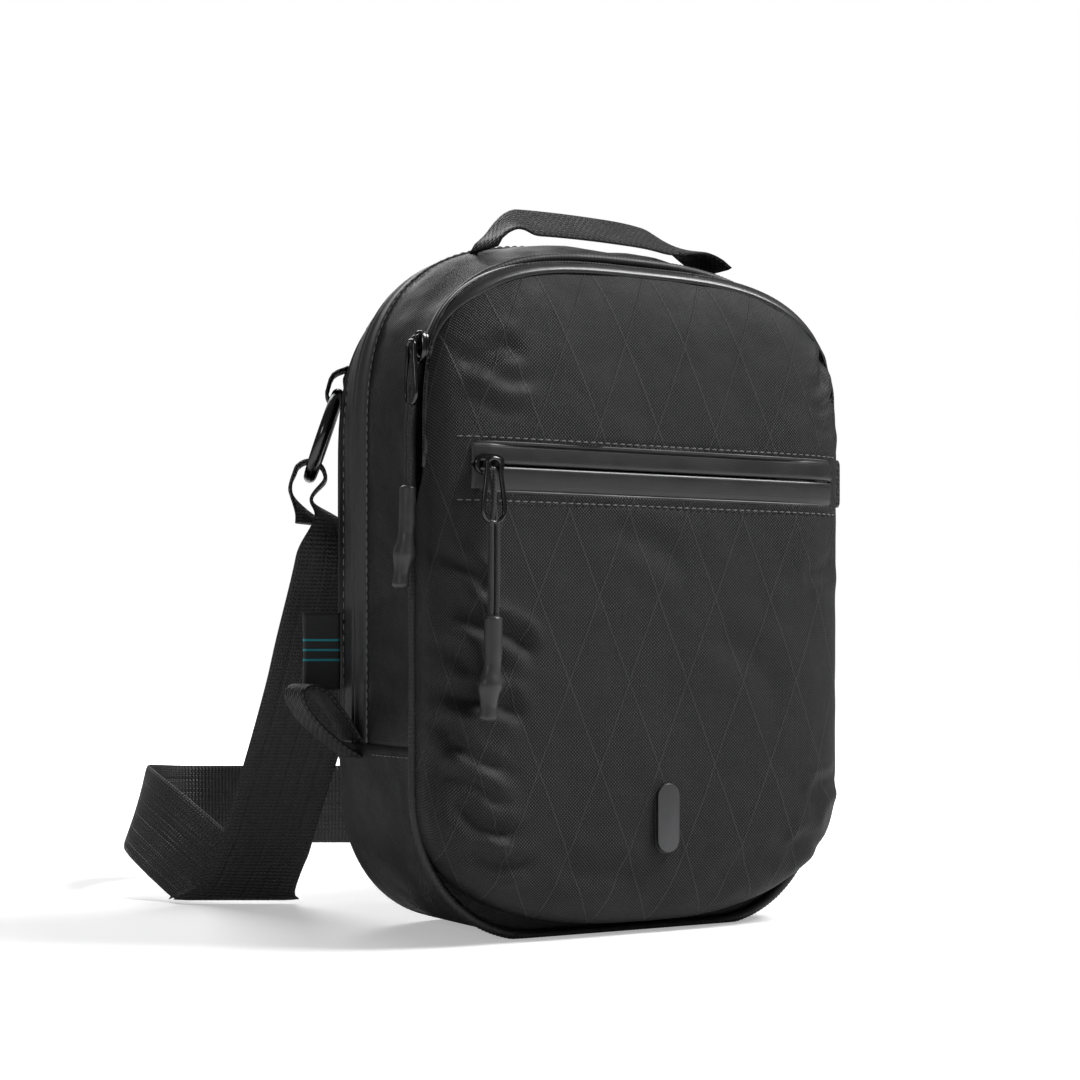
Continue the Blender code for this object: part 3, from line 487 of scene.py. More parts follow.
def tube(name, points, radius, sides=10, closed=False):
    """A round tube. radius is a number or a list, and UV runs round and along it."""
    radii = radius if isinstance(radius, list) else [radius] * len(points)
    normal = Vector((0, 0, 1))
    run = tangents(points, closed)
    if abs(run[0].dot(normal)) > 0.9:
        normal = Vector((0, 1, 0))
    rows = []
    places = []
    travelled = 0.0
    for i, point in enumerate(points):
        normal = (normal - run[i] * normal.dot(run[i])).normalized()
        side = run[i].cross(normal)
        travelled += (point - points[i - 1]).length / MM if i else 0.0
        row = []
        place = []
        for k in range(sides):
            turn = 2 * math.pi * k / sides
            row.append(point + (normal * math.cos(turn) + side * math.sin(turn)) * radii[i])
            place.append((2 * math.pi * radii[i] / MM * k / sides, travelled))
        rows.append(row)
        places.append(place)
    if closed:
        rows.append(rows[0])
        places.append([(u, travelled + (points[0] - points[-1]).length / MM) for u, _ in places[0]])
    made = grid(name, rows, places, wrap=True)
    if closed:
        return merged(made)
    return close_ends(made, sides)


def merged(made, distance=1e-6):
    shape = bmesh.new()
    shape.from_mesh(made.data)
    bmesh.ops.remove_doubles(shape, verts=shape.verts, dist=distance)
    bmesh.ops.recalc_face_normals(shape, faces=shape.faces)
    shape.to_mesh(made.data)
    shape.free()
    return made


def joined(name, parts):
    """One object from several, keeping their materials."""
    bpy.ops.object.select_all(action="DESELECT")
    for part in parts:
        part.select_set(True)
    bpy.context.view_layer.objects.active = parts[0]
    bpy.ops.object.join()
    parts[0].name = name
    parts[0].data.name = name
    return parts[0]


def block(name, low, high, bevel, segments=2):
    shape = bmesh.new()
    bmesh.ops.create_cube(shape, size=1.0)
    size = Vector(high) - Vector(low)
    bmesh.ops.scale(shape, verts=shape.verts, vec=size)
    bmesh.ops.translate(shape, verts=shape.verts, vec=(Vector(low) + Vector(high)) / 2)
    bmesh.ops.bevel(shape, geom=shape.edges[:], offset=bevel, segments=segments, affect="EDGES", profile=0.6)
    mesh = bpy.data.meshes.new(name)
    shape.to_mesh(mesh)
    shape.free()
    mesh.shade_smooth()
    mesh.set_sharp_from_angle(angle=math.radians(40))
    return link(name, mesh)


def prism(name, outline, thick, bevel, turn):
    """A plate from an outline in millimetres, placed by a matrix, with bevelled edges."""
    shape = bmesh.new()
    face = shape.faces.new([shape.verts.new(Vector((x, y, 0)) * MM) for x, y in outline])
    made = bmesh.ops.extrude_face_region(shape, geom=[face])
    moved = [v for v in made["geom"] if isinstance(v, bmesh.types.BMVert)]
    bmesh.ops.translate(shape, verts=moved, vec=(0, 0, thick))
    bmesh.ops.recalc_face_normals(shape, faces=shape.faces)
    if bevel:
        edges = [e for e in shape.edges if e.calc_face_angle(0) > 0.5]
        bmesh.ops.bevel(shape, geom=edges, offset=bevel, segments=3, affect="EDGES", profile=0.6)
    bmesh.ops.transform(shape, matrix=turn, verts=shape.verts)
    bmesh.ops.recalc_face_normals(shape, faces=shape.faces)
    mesh = bpy.data.meshes.new(name)
    shape.to_mesh(mesh)
    shape.free()
    mesh.shade_smooth()
    mesh.set_sharp_from_angle(angle=math.radians(35))
    return link(name, mesh)


def stitches(name, lines, length=2.5 * MM, gap=0.9 * MM, radius=0.27 * MM):
    """Thread dashes along lines of (point, normal) pairs, slightly sunk at both ends."""
    shape = bmesh.new()
    profile = [(-0.5, 0.35, -1.1), (-0.4, 0.8, -0.1), (-0.15, 1.0, 0.35), (0.15, 1.0, 0.35),
               (0.4, 0.8, -0.1), (0.5, 0.35, -1.1)]
    for line in lines:
        for at, run, up in walk(line, length + gap):
            side = run.cross(up)
            rings = []
            for along, size, lift in profile:
                centre = at + run * along * length + up * lift * radius
                ring = []
                for k in range(6):
                    turn = math.pi * k / 3
                    ring.append(shape.verts.new(
                        centre + (side * math.cos(turn) + up * math.sin(turn)) * radius * size))
                rings.append(ring)
            for a, b in zip(rings, rings[1:]):
                for k in range(6):
                    n = (k + 1) % 6
                    shape.faces.new((a[k], a[n], b[n], b[k]))
            shape.faces.new(rings[0])
            shape.faces.new(rings[-1])
    bmesh.ops.recalc_face_normals(shape, faces=shape.faces)
    mesh = bpy.data.meshes.new(name)
    shape.to_mesh(mesh)
    shape.free()
    mesh.shade_smooth()
    made = link(name, mesh)
    mesh.materials.append(MATERIALS["thread"])
    return made


def walk(line, step):
    """Even steps along a line of (point, normal) pairs."""
    along = 0.0
    target = step / 2
    for (a, na), (b, nb) in zip(line, line[1:]):
        reach = (b - a).length
        if reach < 1e-9:
            continue
        while target <= along + reach:
            t = (target - along) / reach
            up = na.lerp(nb, t).normalized()
            run = (b - a).normalized()
            up = (up - run * up.dot(run)).normalized()
            yield a.lerp(b, t), run, up
            target += step
        along += reach


# ---------------------------------------------------------------- materials

WEAVE_PITCH = 1.35
DIAMOND_WIDTH, DIAMOND_LEAN = 26.8, 0.404


class Graph:
    """Short calls for building one procedural material."""

    def __init__(self, name, colour, roughness, metallic=0.0):
        self.material = bpy.data.materials.new(name)
        self.material.use_nodes = True
        self.tree = self.material.node_tree
        self.shader = self.tree.nodes["Principled BSDF"]
        self.colour = colour
        self.shader.inputs["Base Color"].default_value = (*colour, 1.0)
        self.shader.inputs["Roughness"].default_value = roughness
        self.shader.inputs["Metallic"].default_value = metallic

    def node(self, kind, **inputs):
        made = self.tree.nodes.new(kind)
        for name, value in inputs.items():
            key = int(name[1:]) if name[0] == "i" and name[1:].isdigit() else name.replace("_", " ")
            self.put(made.inputs[key], value)
        return made

    def put(self, socket, value):
        if isinstance(value, bpy.types.NodeSocket):
            self.tree.links.new(value, socket)
        else:
            socket.default_value = value

    def math(self, operation, a, b=0.0, c=0.0):
        made = self.tree.nodes.new("ShaderNodeMath")
        made.operation = operation
        for socket, value in zip(made.inputs, (a, b, c)):
            self.put(socket, value)
        return made.outputs[0]

    def ramp(self, value, low, high, to_low=0.0, to_high=1.0):
        made = self.tree.nodes.new("ShaderNodeMapRange")
        made.interpolation_type = "SMOOTHSTEP"
        for key, item in zip(("Value", "From Min", "From Max", "To Min", "To Max"),
                             (value, low, high, to_low, to_high)):
            self.put(made.inputs[key], item)
        return made.outputs[0]

    def uv(self):
        """Across and along, in millimetres."""
        made = self.tree.nodes.new("ShaderNodeUVMap")
        made.uv_map = "UVMap"
        split = self.node("ShaderNodeSeparateXYZ", Vector=made.outputs[0])
        return split.outputs[0], split.outputs[1]

    def place(self):
        return self.tree.nodes.new("ShaderNodeTexCoord").outputs["Object"]

    def noise(self, scale, detail=3.0, roughness=0.55, vector=None):
        made = self.node("ShaderNodeTexNoise", Vector=vector or self.place(), Scale=scale,
                         Detail=detail, Roughness=roughness)
        return made.outputs[0]

    def stripes(self, value, pitch):
        """A wave from 0 to 1 along a coordinate in millimetres."""
        wave = self.math("SINE", self.math("MULTIPLY", value, 2 * math.pi / pitch))
        return self.math("MULTIPLY_ADD", wave, 0.5, 0.5)

    def line(self, value, pitch, half, soft):
        """1 on lines that repeat along a coordinate, 0 between them."""
        turn = self.math("FRACT", self.math("MULTIPLY_ADD", value, 1 / pitch, 0.5))
        away = self.math("MULTIPLY", self.math("ABSOLUTE", self.math("SUBTRACT", turn, 0.5)), pitch)
        return self.ramp(away, half, half + soft, 1.0, 0.0)

    def tint(self, amount):
        """Scales the base colour by a value around 1."""
        made = self.node("ShaderNodeVectorMath")
        made.operation = "SCALE"
        made.inputs[0].default_value = self.colour
        self.put(made.inputs["Scale"], amount)
        self.tree.links.new(made.outputs[0], self.shader.inputs["Base Color"])

    def relief(self, height, depth, after=None):
        made = self.node("ShaderNodeBump", Height=height, Distance=depth, Strength=1.0)
        if after is not None:
            self.tree.links.new(after, made.inputs["Normal"])
        self.tree.links.new(made.outputs[0], self.shader.inputs["Normal"])
        return made.outputs[0]

    def rough(self, value, low, high):
        self.tree.links.new(self.ramp(value, 0.3, 0.7, low, high), self.shader.inputs["Roughness"])


def fabric_material(name, colour, diamonds=True, roughness=(0.44, 0.58)):
    """Basket weave of light and dark yarns, with raised yarns that cross in tall diamonds."""
    g = Graph(name, colour, 0.55)
    u, v = g.uv()
    dots = g.math("MULTIPLY", g.stripes(g.math("ADD", u, v), WEAVE_PITCH),
                  g.stripes(g.math("SUBTRACT", u, v), WEAVE_PITCH))
    soft = g.noise(38.0, 4.0)
    fleck = g.noise(1100.0, 2.0)
    shade = g.math("MULTIPLY_ADD", g.math("POWER", dots, 1.4), 4.8, 0.12)
    shade = g.math("MULTIPLY", shade, g.math("MULTIPLY_ADD", fleck, 0.9, 0.55))
    shade = g.math("MULTIPLY", shade, g.math("MULTIPLY_ADD", soft, 0.7, 0.65))
    height = dots
    if diamonds:
        one = g.line(g.math("MULTIPLY_ADD", v, DIAMOND_LEAN, u), DIAMOND_WIDTH, 0.26, 0.30)
        two = g.line(g.math("MULTIPLY_ADD", v, -DIAMOND_LEAN, u), DIAMOND_WIDTH, 0.26, 0.30)
        lines = g.math("MAXIMUM", one, two)
        shade = g.math("MULTIPLY_ADD", lines, 1.3, shade)
        height = g.math("MULTIPLY_ADD", lines, 2.0, dots)
    g.tint(shade)
    g.rough(soft, *roughness)
    first = g.relief(g.noise(55.0, 4.0), 0.0014)
    g.relief(height, 0.00022, first)
    g.shader.inputs["Specular IOR Level"].default_value = 0.28
    return g.material


def film_material(name, colour, roughness=(0.30, 0.46)):
    """Smooth film over zip tape, with a faint cloth grain under it."""
    g = Graph(name, colour, 0.4)
    u, v = g.uv()
    grain = g.math("MULTIPLY", g.stripes(u, 0.8), g.stripes(v, 0.8))
    soft = g.noise(60.0, 4.0)
    g.tint(g.math("MULTIPLY_ADD", soft, 0.5, g.math("MULTIPLY_ADD", grain, 0.12, 0.72)))
    g.rough(soft, *roughness)
    first = g.relief(g.noise(160.0, 2.0), 0.00012)
    g.relief(grain, 0.00003, first)
    g.shader.inputs["Specular IOR Level"].default_value = 0.55
    return g.material


def webbing_material(name, colour, pitch, band, ridge=0.0005):
    """Woven tape: short warp floats in columns, offset from one column to the next."""
    g = Graph(name, colour, 0.7)
    u, v = g.uv()
    columns = g.stripes(u, pitch)
    shift = g.math("MULTIPLY", g.math("FLOOR", g.math("DIVIDE", u, pitch)), pitch * 0.5)
    floats = g.stripes(g.math("ADD", v, shift), pitch * 1.25)
    weave = g.math("MULTIPLY", g.math("POWER", columns, 0.5), g.math("MULTIPLY_ADD", floats, 0.75, 0.25))
    bands = g.stripes(u, band)
    soft = g.noise(70.0, 3.0)
    shade = g.math("MULTIPLY_ADD", g.math("POWER", weave, 1.5), 4.2, g.math("MULTIPLY_ADD", bands, 0.1, 0.02))
    g.tint(g.math("MULTIPLY_ADD", soft, 0.15, shade))
    g.rough(soft, 0.48, 0.66)
    g.relief(weave, ridge)
    g.shader.inputs["Specular IOR Level"].default_value = 0.2
    return g.material


def strap_material(name, colour):
    """Seat-belt webbing: fine ribs across, with smooth bands along its length."""
    g = Graph(name, colour, 0.6)
    u, v = g.uv()
    zig = g.math("MULTIPLY", g.math("PINGPONG", u, 0.95), 0.5)
    ribs = g.stripes(g.math("ADD", v, zig), 1.7)
    cords = g.stripes(u, 1.05)
    bands = g.line(u, 6.2, 0.35, 0.5)
    weave = g.math("MULTIPLY_ADD", cords, 0.35, g.math("MULTIPLY", ribs, 0.65))
    soft = g.noise(45.0, 3.0)
    shade = g.math("MULTIPLY_ADD", weave, 1.9, g.math("MULTIPLY_ADD", soft, 0.5, 0.05))
    g.tint(g.math("MULTIPLY_ADD", bands, -0.35, shade))
    g.rough(soft, 0.38, 0.55)
    g.relief(g.math("MULTIPLY_ADD", bands, -0.6, weave), 0.00040)
    g.shader.inputs["Specular IOR Level"].default_value = 0.45
    return g.material


def cord_material(name, colour):
    """A braid: two sets of strands that cross round the cord."""
    g = Graph(name, colour, 0.7)
    u, v = g.uv()
    one = g.stripes(g.math("MULTIPLY_ADD", v, 0.9, u), 1.25)
    two = g.stripes(g.math("MULTIPLY_ADD", v, -0.9, u), 1.25)
    braid = g.math("MAXIMUM", one, two)
    fleck = g.noise(1500.0, 2.0)
    g.tint(g.math("MULTIPLY_ADD", g.math("MULTIPLY", braid, fleck), 2.2, 0.35))
    g.relief(braid, 0.0003)
    return g.material


def hard_material(name, colour, roughness, metallic, grain=900.0, depth=0.00003, coat=0.0):
    g = Graph(name, colour, roughness, metallic)
    soft = g.noise(120.0, 4.0)
    g.tint(g.math("MULTIPLY_ADD", soft, 0.4, 0.8))
    g.rough(soft, roughness * 0.85, roughness * 1.2)
    g.relief(g.noise(grain, 3.0), depth)
    g.shader.inputs["Coat Weight"].default_value = coat
    return g.material


def mesh_material(name, colour):
    """Spacer mesh: staggered round holes, tinted darker as painted shade inside them."""
    g = Graph(name, colour, 0.8)
    u, v = g.uv()
    pitch = 3.0
    one = g.math("MULTIPLY", g.stripes(u, pitch), g.stripes(v, pitch * 1.2))
    far = g.math("ADD", u, pitch / 2)
    up = g.math("ADD", v, pitch * 0.6)
    two = g.math("MULTIPLY", g.stripes(far, pitch), g.stripes(up, pitch * 1.2))
    holes = g.ramp(g.math("MAXIMUM", one, two), 0.55, 0.85)
    knit = g.stripes(g.math("ADD", u, v), 0.7)
    # the holes are tinted darker: painted shade in the recesses of the holes
    g.tint(g.math("MULTIPLY_ADD", holes, -0.75, g.math("MULTIPLY_ADD", knit, 0.3, 0.9)))
    g.relief(g.math("MULTIPLY_ADD", holes, -1.0, g.math("MULTIPLY", knit, 0.2)), 0.0006)
    g.shader.inputs["Specular IOR Level"].default_value = 0.2
    return g.material


def lining_material(name, colour):
    g = Graph(name, colour, 0.6)
    u, v = g.uv()
    grid_lines = g.math("MAXIMUM", g.line(u, 5.0, 0.12, 0.2), g.line(v, 5.0, 0.12, 0.2))
    weave = g.math("MULTIPLY", g.stripes(u, 0.6), g.stripes(v, 0.6))
    soft = g.noise(50.0, 4.0)
    g.tint(g.math("ADD", g.math("MULTIPLY_ADD", soft, 0.3, 0.75), g.math("MULTIPLY", grid_lines, 0.25)))
    first = g.relief(soft, 0.002)
    g.relief(g.math("MULTIPLY_ADD", grid_lines, 1.0, weave), 0.0001, first)
    g.rough(soft, 0.45, 0.65)
    return g.material


def label_material(name, colour, mark):
    """A dark woven label with plain bars near its middle."""
    g = Graph(name, colour, 0.7)
    place = g.node("ShaderNodeSeparateXYZ", Vector=g.place())
    height = g.math("MULTIPLY", place.outputs[2], 1000.0)
    near = g.math("ABSOLUTE", g.math("SUBTRACT", height, 111.5))
    bars = g.math("MULTIPLY", g.line(height, 4.0, 0.35, 0.15), g.ramp(near, 6.5, 6.8, 1.0, 0.0))
    weave = g.math("MULTIPLY", g.stripes(height, 0.5), 0.4)
    mix = g.tree.nodes.new("ShaderNodeMix")
    mix.data_type = "RGBA"
    g.put(mix.inputs["Factor"], bars)
    mix.inputs["A"].default_value = (*colour, 1.0)
    mix.inputs["B"].default_value = (*mark, 1.0)
    g.tree.links.new(mix.outputs["Result"], g.shader.inputs["Base Color"])
    g.relief(weave, 0.0001)
    return g.material


def grey(value, blue=1.03):
    return (value, value, value * blue)


MATERIALS = {
    "fabric": fabric_material("ripstop_twill", grey(0.013)),
    "fabric_plain": fabric_material("plain_twill", grey(0.008), diamonds=False),
    "binding": film_material("binding_cloth", grey(0.008), (0.46, 0.60)),
    "film": film_material("zip_film", grey(0.022), (0.30, 0.36)),
    "film_matte": film_material("zip_film_matte", grey(0.028), (0.44, 0.58)),
    "webbing": webbing_material("webbing_coarse", grey(0.013), 2.0, 9.0),
    "strap": strap_material("webbing_strap", grey(0.014)),
    "cord": cord_material("braided_cord", grey(0.022)),
    "sleeve": hard_material("shrink_sleeve", grey(0.034), 0.36, 0.0, 400.0, 0.00012),
    "metal": hard_material("black_nickel", grey(0.070), 0.22, 1.0, 500.0, 0.00002),
    "badge": hard_material("satin_metal", grey(0.105), 0.36, 1.0, 1600.0, 0.00002),
    "plastic": hard_material("black_acetal", grey(0.010), 0.34, 0.0, 1500.0, 0.00003),
    "mesh": mesh_material("spacer_mesh", grey(0.012)),
    "lining": lining_material("lining_cloth", (0.050, 0.052, 0.054)),
    "thread": hard_material("thread", grey(0.15), 0.6, 0.0, 2500.0, 0.0001),
    "label": label_material("label_cloth", grey(0.030), (0.02, 0.30, 0.36)),
}


def dress(made, *names):
    made.data.materials.clear()
    for name in names:
        made.data.materials.append(MATERIALS[name])
    return made


def settle(made, body, slot, *nodes):
    """A finished piece rides on a body and stands for CAD nodes."""
    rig.ride(made, body)
    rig.slot(made, slot)
    if nodes:
        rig.replaces(made, *nodes)
    return made


# ---------------------------------------------------------------- fabric relief

def ripple(point, size, seed, stretch=(1, 1, 1)):
    at = Vector((point.x * stretch[0], point.y * stretch[1], point.z * stretch[2])) / size
    return noise.noise(at + Vector((seed, seed * 0.7, -seed)))


# Creases of the front cover: ends in millimetres (x, z), half width and depth
COVER_CREASES = (
    ((-84, 128), (-58, 112), 3.6, -1.5), ((-88, 118), (-70, 96), 3.2, 1.0),
    ((-90, 98), (-62, 88), 3.8, -1.5), ((-92, 84), (-74, 66), 3.0, -1.3),
    ((-88, 72), (-66, 60), 3.4, 1.0), ((-86, 52), (-66, 42), 3.6, -1.5),
    ((-80, 36), (-58, 30), 3.2, -1.1), ((-90, 150), (-76, 134), 3.0, -1.0),
    ((-84, 222), (-62, 226), 4.0, -1.1), ((-80, 212), (-58, 208), 3.4, 0.8),
    ((91, 236), (82, 222), 3.2, -1.4), ((94, 226), (86, 210), 3.0, -1.4),
    ((93, 212), (84, 202), 3.0, -1.0), ((88, 150), (74, 140), 4.0, -0.8),
    ((90, 60), (76, 50), 4.0, -1.2), ((84, 34), (66, 30), 4.0, -1.0),
    ((-20, 160), (10, 148), 6.0, -0.6), ((30, 120), (58, 96), 7.0, -0.5),
    ((-40, 30), (-10, 22), 5.0, -0.8), ((30, 22), (56, 26), 5.0, -0.8),
)


CREASE_GAIN = 1.7


def crease(x, z, ends, width, depth):
    (ax, az), (bx, bz) = ends
    dx, dz = bx - ax, bz - az
    long = dx * dx + dz * dz
    t = ((x - ax) * dx + (z - az) * dz) / long
    off = ((x - ax) * dz - (z - az) * dx) / math.sqrt(long)
    off += 1.6 * math.sin(t * 5.0 + ax)
    ends_fade = ease((t + 0.25) / 0.4) * ease((1.25 - t) / 0.4)
    valley = math.exp(-(off / width) ** 2)
    shoulder = 0.55 * math.exp(-((abs(off) - 1.9 * width) / (0.9 * width)) ** 2)
    return depth * ends_fade * (valley - shoulder)


def cover_relief(point, normal):
    x, z = point.x / MM, point.z / MM
    amount = 0.9 * ripple(point, 34 * MM, 3.0, (1, 1, 0.6)) + 0.35 * ripple(point, 11 * MM, 7.0)
    for a, b, width, depth in COVER_CREASES:
        amount += CREASE_GAIN * crease(x, z, (a, b), width, depth)
    slot_near = max(bump(z, 181, 14), 0.0)
    amount *= 1 - 0.75 * slot_near * (1 if abs(x) < 88 else 0)
    for stitch in (POCKET_HIGH / MM + 2.0, POCKET_LOW / MM - 3.4):
        amount -= 0.45 * bump(z, stitch, 1.2) * (1 if -90 < x < 92 else 0)
    face = ease((-normal.y - 0.05) / 0.4)
    rim = ease((point.y + 46 * MM) / (20 * MM))
    return (amount * (0.35 + 0.65 * face) * (1 - 0.6 * rim)) * MM


# ---------------------------------------------------------------- main body

CENTRE = (0, 15 * MM, 140 * MM)


def station_rows(outline, stations, **more):
    """Rows of points along an outline at depths, with a lift outwards at each."""
    return [outline(y, -lift * MM, **more) for y, lift in stations]


def steps_between(first, last, count):
    return [lerp(first, last, i / count) for i in range(count + 1)]


def soft_wrinkles(seed, height, size=30 * MM):
    """Slight waves all over a sheet, with no fading at its edges."""
    def amount(point, normal):
        broad = ripple(point, size, seed)
        small = ripple(point, size * 0.33, seed + 4)
        return (0.7 * broad + 0.3 * small) * height
    return amount


def gusset_relief(point, normal):
    """Waves of the wide gusset, flat along its two sewn edges."""
    share = (point.y - Y_SEAM) / (Y_TAPE_FRONT - Y_SEAM)
    inside = ease(share / 0.18) * ease((1 - share) / 0.18)
    waves = ripple(point, 30 * MM, 2.0, (1, 0.5, 1)) * 1.5 + ripple(point, 10 * MM, 5.0) * 0.5
    sag = -1.0 * math.sin(math.pi * min(max(share, 0), 1))
    return (waves * inside + sag * 0.4) * MM


def make_main_gusset():
    stations = [(y, 0) for y in steps_between(Y_SEAM + 0.3 * MM, Y_TAPE_FRONT - 0.2 * MM, 20)]
    made = grid("main_gusset_cloth", station_rows(arch, stations, straight=60, steps=60))
    dress(made, "fabric_plain", "lining")
    point_out(made, CENTRE)
    push(made, gusset_relief)
    thicken(made, 1.2 * MM)
    settle(made, "bag_body", "shell_fabric", "main_gusset")


def make_lower_gusset():
    stations = [(y, 0) for y in steps_between(Y_SEAM + 0.3 * MM, Y_BACK - 0.3 * MM, 30)]
    made = grid("lower_gusset_cloth", station_rows(trough, stations))
    dress(made, "fabric_plain", "lining")
    point_out(made, CENTRE)

    def amount(point, normal):
        edge = min(point.y - Y_SEAM, Y_BACK - point.y)
        inside = ease(edge / (9 * MM)) * ease(point.z / (14 * MM))
        waves = ripple(point, 28 * MM, 12.0) * 1.3 + ripple(point, 9 * MM, 15.0) * 0.4
        hem = 0.5 * bump(point.z, HEM_Z - 4 * MM, 3 * MM)
        return (waves * inside + hem) * MM

    push(made, amount)
    thicken(made, 1.2 * MM)
    settle(made, "bag_body", "shell_fabric", "lower_gusset")


def whole_outline(y, inset=0.0):
    """Closed outline of the body at a depth, over the top and back under the base."""
    over = arch(y, inset, low=HEM_Z, straight=70, steps=70)
    under = trough(y, inset, high=HEM_Z, steps=40, flat=30)
    return over + list(reversed(under[1:-1]))


def ribbed(name, points, radius, body, pitch=1.7 * MM):
    """A cord of cloth-covered piping with ribs across it."""
    travelled = 0.0
    radii = []
    for a, b in zip([points[-1]] + points, points):
        travelled += (b - a).length
        radii.append(radius * (1 + 0.07 * math.sin(2 * math.pi * travelled / pitch)))
    made = tube(name, points, radii, sides=12, closed=True)
    dress(made, "binding")
    return settle(made, body, "shell_fabric")


def even(points, step, closed=False):
    """The same line with points a fixed step apart."""
    line = list(points) + ([points[0]] if closed else [])
    along = [0.0]
    for a, b in zip(line, line[1:]):
        along.append(along[-1] + (b - a).length)
    count = max(2, round(along[-1] / step))
    found = []
    k = 0
    for i in range(count if closed else count + 1):
        target = along[-1] * i / count
        while k < len(line) - 2 and along[k + 1] < target:
            k += 1
        t = (target - along[k]) / max(along[k + 1] - along[k], 1e-9)
        found.append(line[k].lerp(line[k + 1], min(max(t, 0), 1)))
    return found


def make_seam_binding():
    """The ribbed edge between the body and the front compartment."""
    points = even(whole_outline(Y_SEAM - 0.4 * MM, 0.2 * MM), 0.6 * MM, closed=True)
    ribbed("seam_binding", points, 1.9 * MM, "bag_body")


def closed_panel(name, outline, y, levels, relief):
    """A flat panel filled with scaled copies of its outline, with relief(x, z, level)."""
    middle = sum((p.z for p in outline), 0.0) / len(outline)
    rows = []
    for level in levels:
        row = []
        for p in outline:
            x, z = p.x * level, middle + (p.z - middle) * level
            row.append(Vector((x, y + relief(x, z, level), z)))
        rows.append(row)
    uv = [[(p.x / MM, p.z / MM) for p in row] for row in rows]
    return filled(name, rows, uv)


def filled(name, rows, uv):
    """A wrapped grid whose last row is closed by one face."""
    made = grid(name, rows, uv, wrap=False)
    shape = bmesh.new()
    shape.from_mesh(made.data)
    shape.verts.ensure_lookup_table()
    layer = shape.loops.layers.uv.active
    columns = len(rows[0])
    for i in range(len(rows) - 1):
        a, b = i * columns, (i + 1) * columns
        corners = (a + columns - 1, a, b, b + columns - 1)
        face = shape.faces.new([shape.verts[k] for k in corners])
        for loop in face.loops:
            loop[layer].uv = (loop.vert.co.x / MM, loop.vert.co.z / MM)
    last = (len(rows) - 1) * columns
    face = shape.faces.new(shape.verts[last:last + columns])
    for loop in face.loops:
        loop[layer].uv = (loop.vert.co.x / MM, loop.vert.co.z / MM)
    bmesh.ops.recalc_face_normals(shape, faces=shape.faces)
    for face in shape.faces:
        face.smooth = True
    shape.to_mesh(made.data)
    shape.free()
    return made


LEVELS = (1.0, 0.985, 0.96, 0.92, 0.87, 0.8, 0.72, 0.63, 0.53, 0.43, 0.33, 0.23, 0.13, 0.05)


def make_divider():
    def relief(x, z, level):
        return ripple(Vector((x, 0, z)), 45 * MM, 21.0) * 1.0 * MM * ease((1 - level) / 0.2)

    outline = whole_outline(Y_SEAM, 1.9 * MM)
    made = closed_panel("divider_cloth", outline, Y_SEAM + 1.1 * MM, LEVELS, relief)
    dress(made, "fabric_plain")
    thicken(made, 0.8 * MM)
    settle(made, "bag_body", "lining", "divider_panel")


def pouch(name, body, node, reach, heights, depths, bow):
    """A patch pocket: a front sheet with a bow, closed at its sides and foot."""
    low, high = heights
    near, far = depths
    columns = 40
    rows = []
    for i in range(25):
        z = lerp(low, high, i / 24)
        row = []
        for j in range(columns + 1):
            share = lerp(-1, 1, j / columns)
            x = reach * share
            out = max(0.0, 1 - share ** 6) * ease((z - low) / (12 * MM) + 0.05)
            sag = bow * math.cos(share * math.pi / 2) * (z - low) / (high - low)
            wave = ripple(Vector((x, 0, z)), 26 * MM, near * 900) * 0.8 * MM * out
            row.append(Vector((x, lerp(near, far, out) + sag * out + wave, z)))
        rows.append(row)
    made = grid(name, rows)
    dress(made, "lining")
    thicken(made, 0.7 * MM)
    hem = tube(name + "_hem", [p + Vector((0, 0, 0.2 * MM)) for p in rows[-1]], 0.9 * MM, sides=8)
    dress(hem, "binding")
    made = joined(name, [made, hem])
    return settle(made, body, "lining", node)


def make_lower_back():
    under = trough(Y_BACK, 0.8 * MM, high=HEM_Z - 0.4 * MM)
    rows = []
    for i in range(13):
        share = i / 12
        rows.append([Vector((p.x, 0, lerp(p.z, HEM_Z - 0.4 * MM, share))) for p in under])
    placed = []
    for i, row in enumerate(rows):
        inside = math.sin(math.pi * i / 12)
        placed.append([Vector((p.x, Y_BACK + 0.7 * MM
                               + inside * (0.5 + 0.6 * ripple(p, 30 * MM, 31.0)) * MM, p.z)) for p in row])
    uv = [[(p.x / MM, p.z / MM) for p in row] for row in placed]
    made = grid("lower_back_cloth", placed, uv)
    dress(made, "fabric_plain", "lining")
    point_out(made, CENTRE)
    thicken(made, 1.0 * MM)
    settle(made, "bag_body", "shell_fabric", "lower_back_panel")


def make_bottom_board():
    made = block("floor_pad", (-56 * MM, Y_SEAM + 4 * MM, 2.4 * MM), (56 * MM, Y_BACK - 4 * MM,
            4.6 * MM), 0.9 * MM)
    dress(made, "lining")
    fit_uv(made)
    settle(made, "bag_body", "board", "bottom_board")


def fit_uv(made):
    """Box UV in millimetres."""
    shape = bmesh.new()
    shape.from_mesh(made.data)
    layer = shape.loops.layers.uv.verify()
    layer = shape.loops.layers.uv.get("UVMap") or shape.loops.layers.uv.new("UVMap")
    for face in shape.faces:
        size = [abs(v) for v in face.normal]
        flat = size.index(max(size))
        for loop in face.loops:
            place = [loop.vert.co[k] / MM for k in range(3) if k != flat]
            loop[layer].uv = place
    shape.to_mesh(made.data)
    shape.free()
    return made


# ---------------------------------------------------------------- zips

TAPE_PROFILE = ((0.0, 0.15), (0.04, 0.55), (0.30, 0.45), (0.62, 0.40), (0.70, 0.60), (0.78, 1.05),
                (0.86, 1.20), (0.94, 1.05), (0.985, 0.55), (1.0, -0.2), (0.99, -1.0))


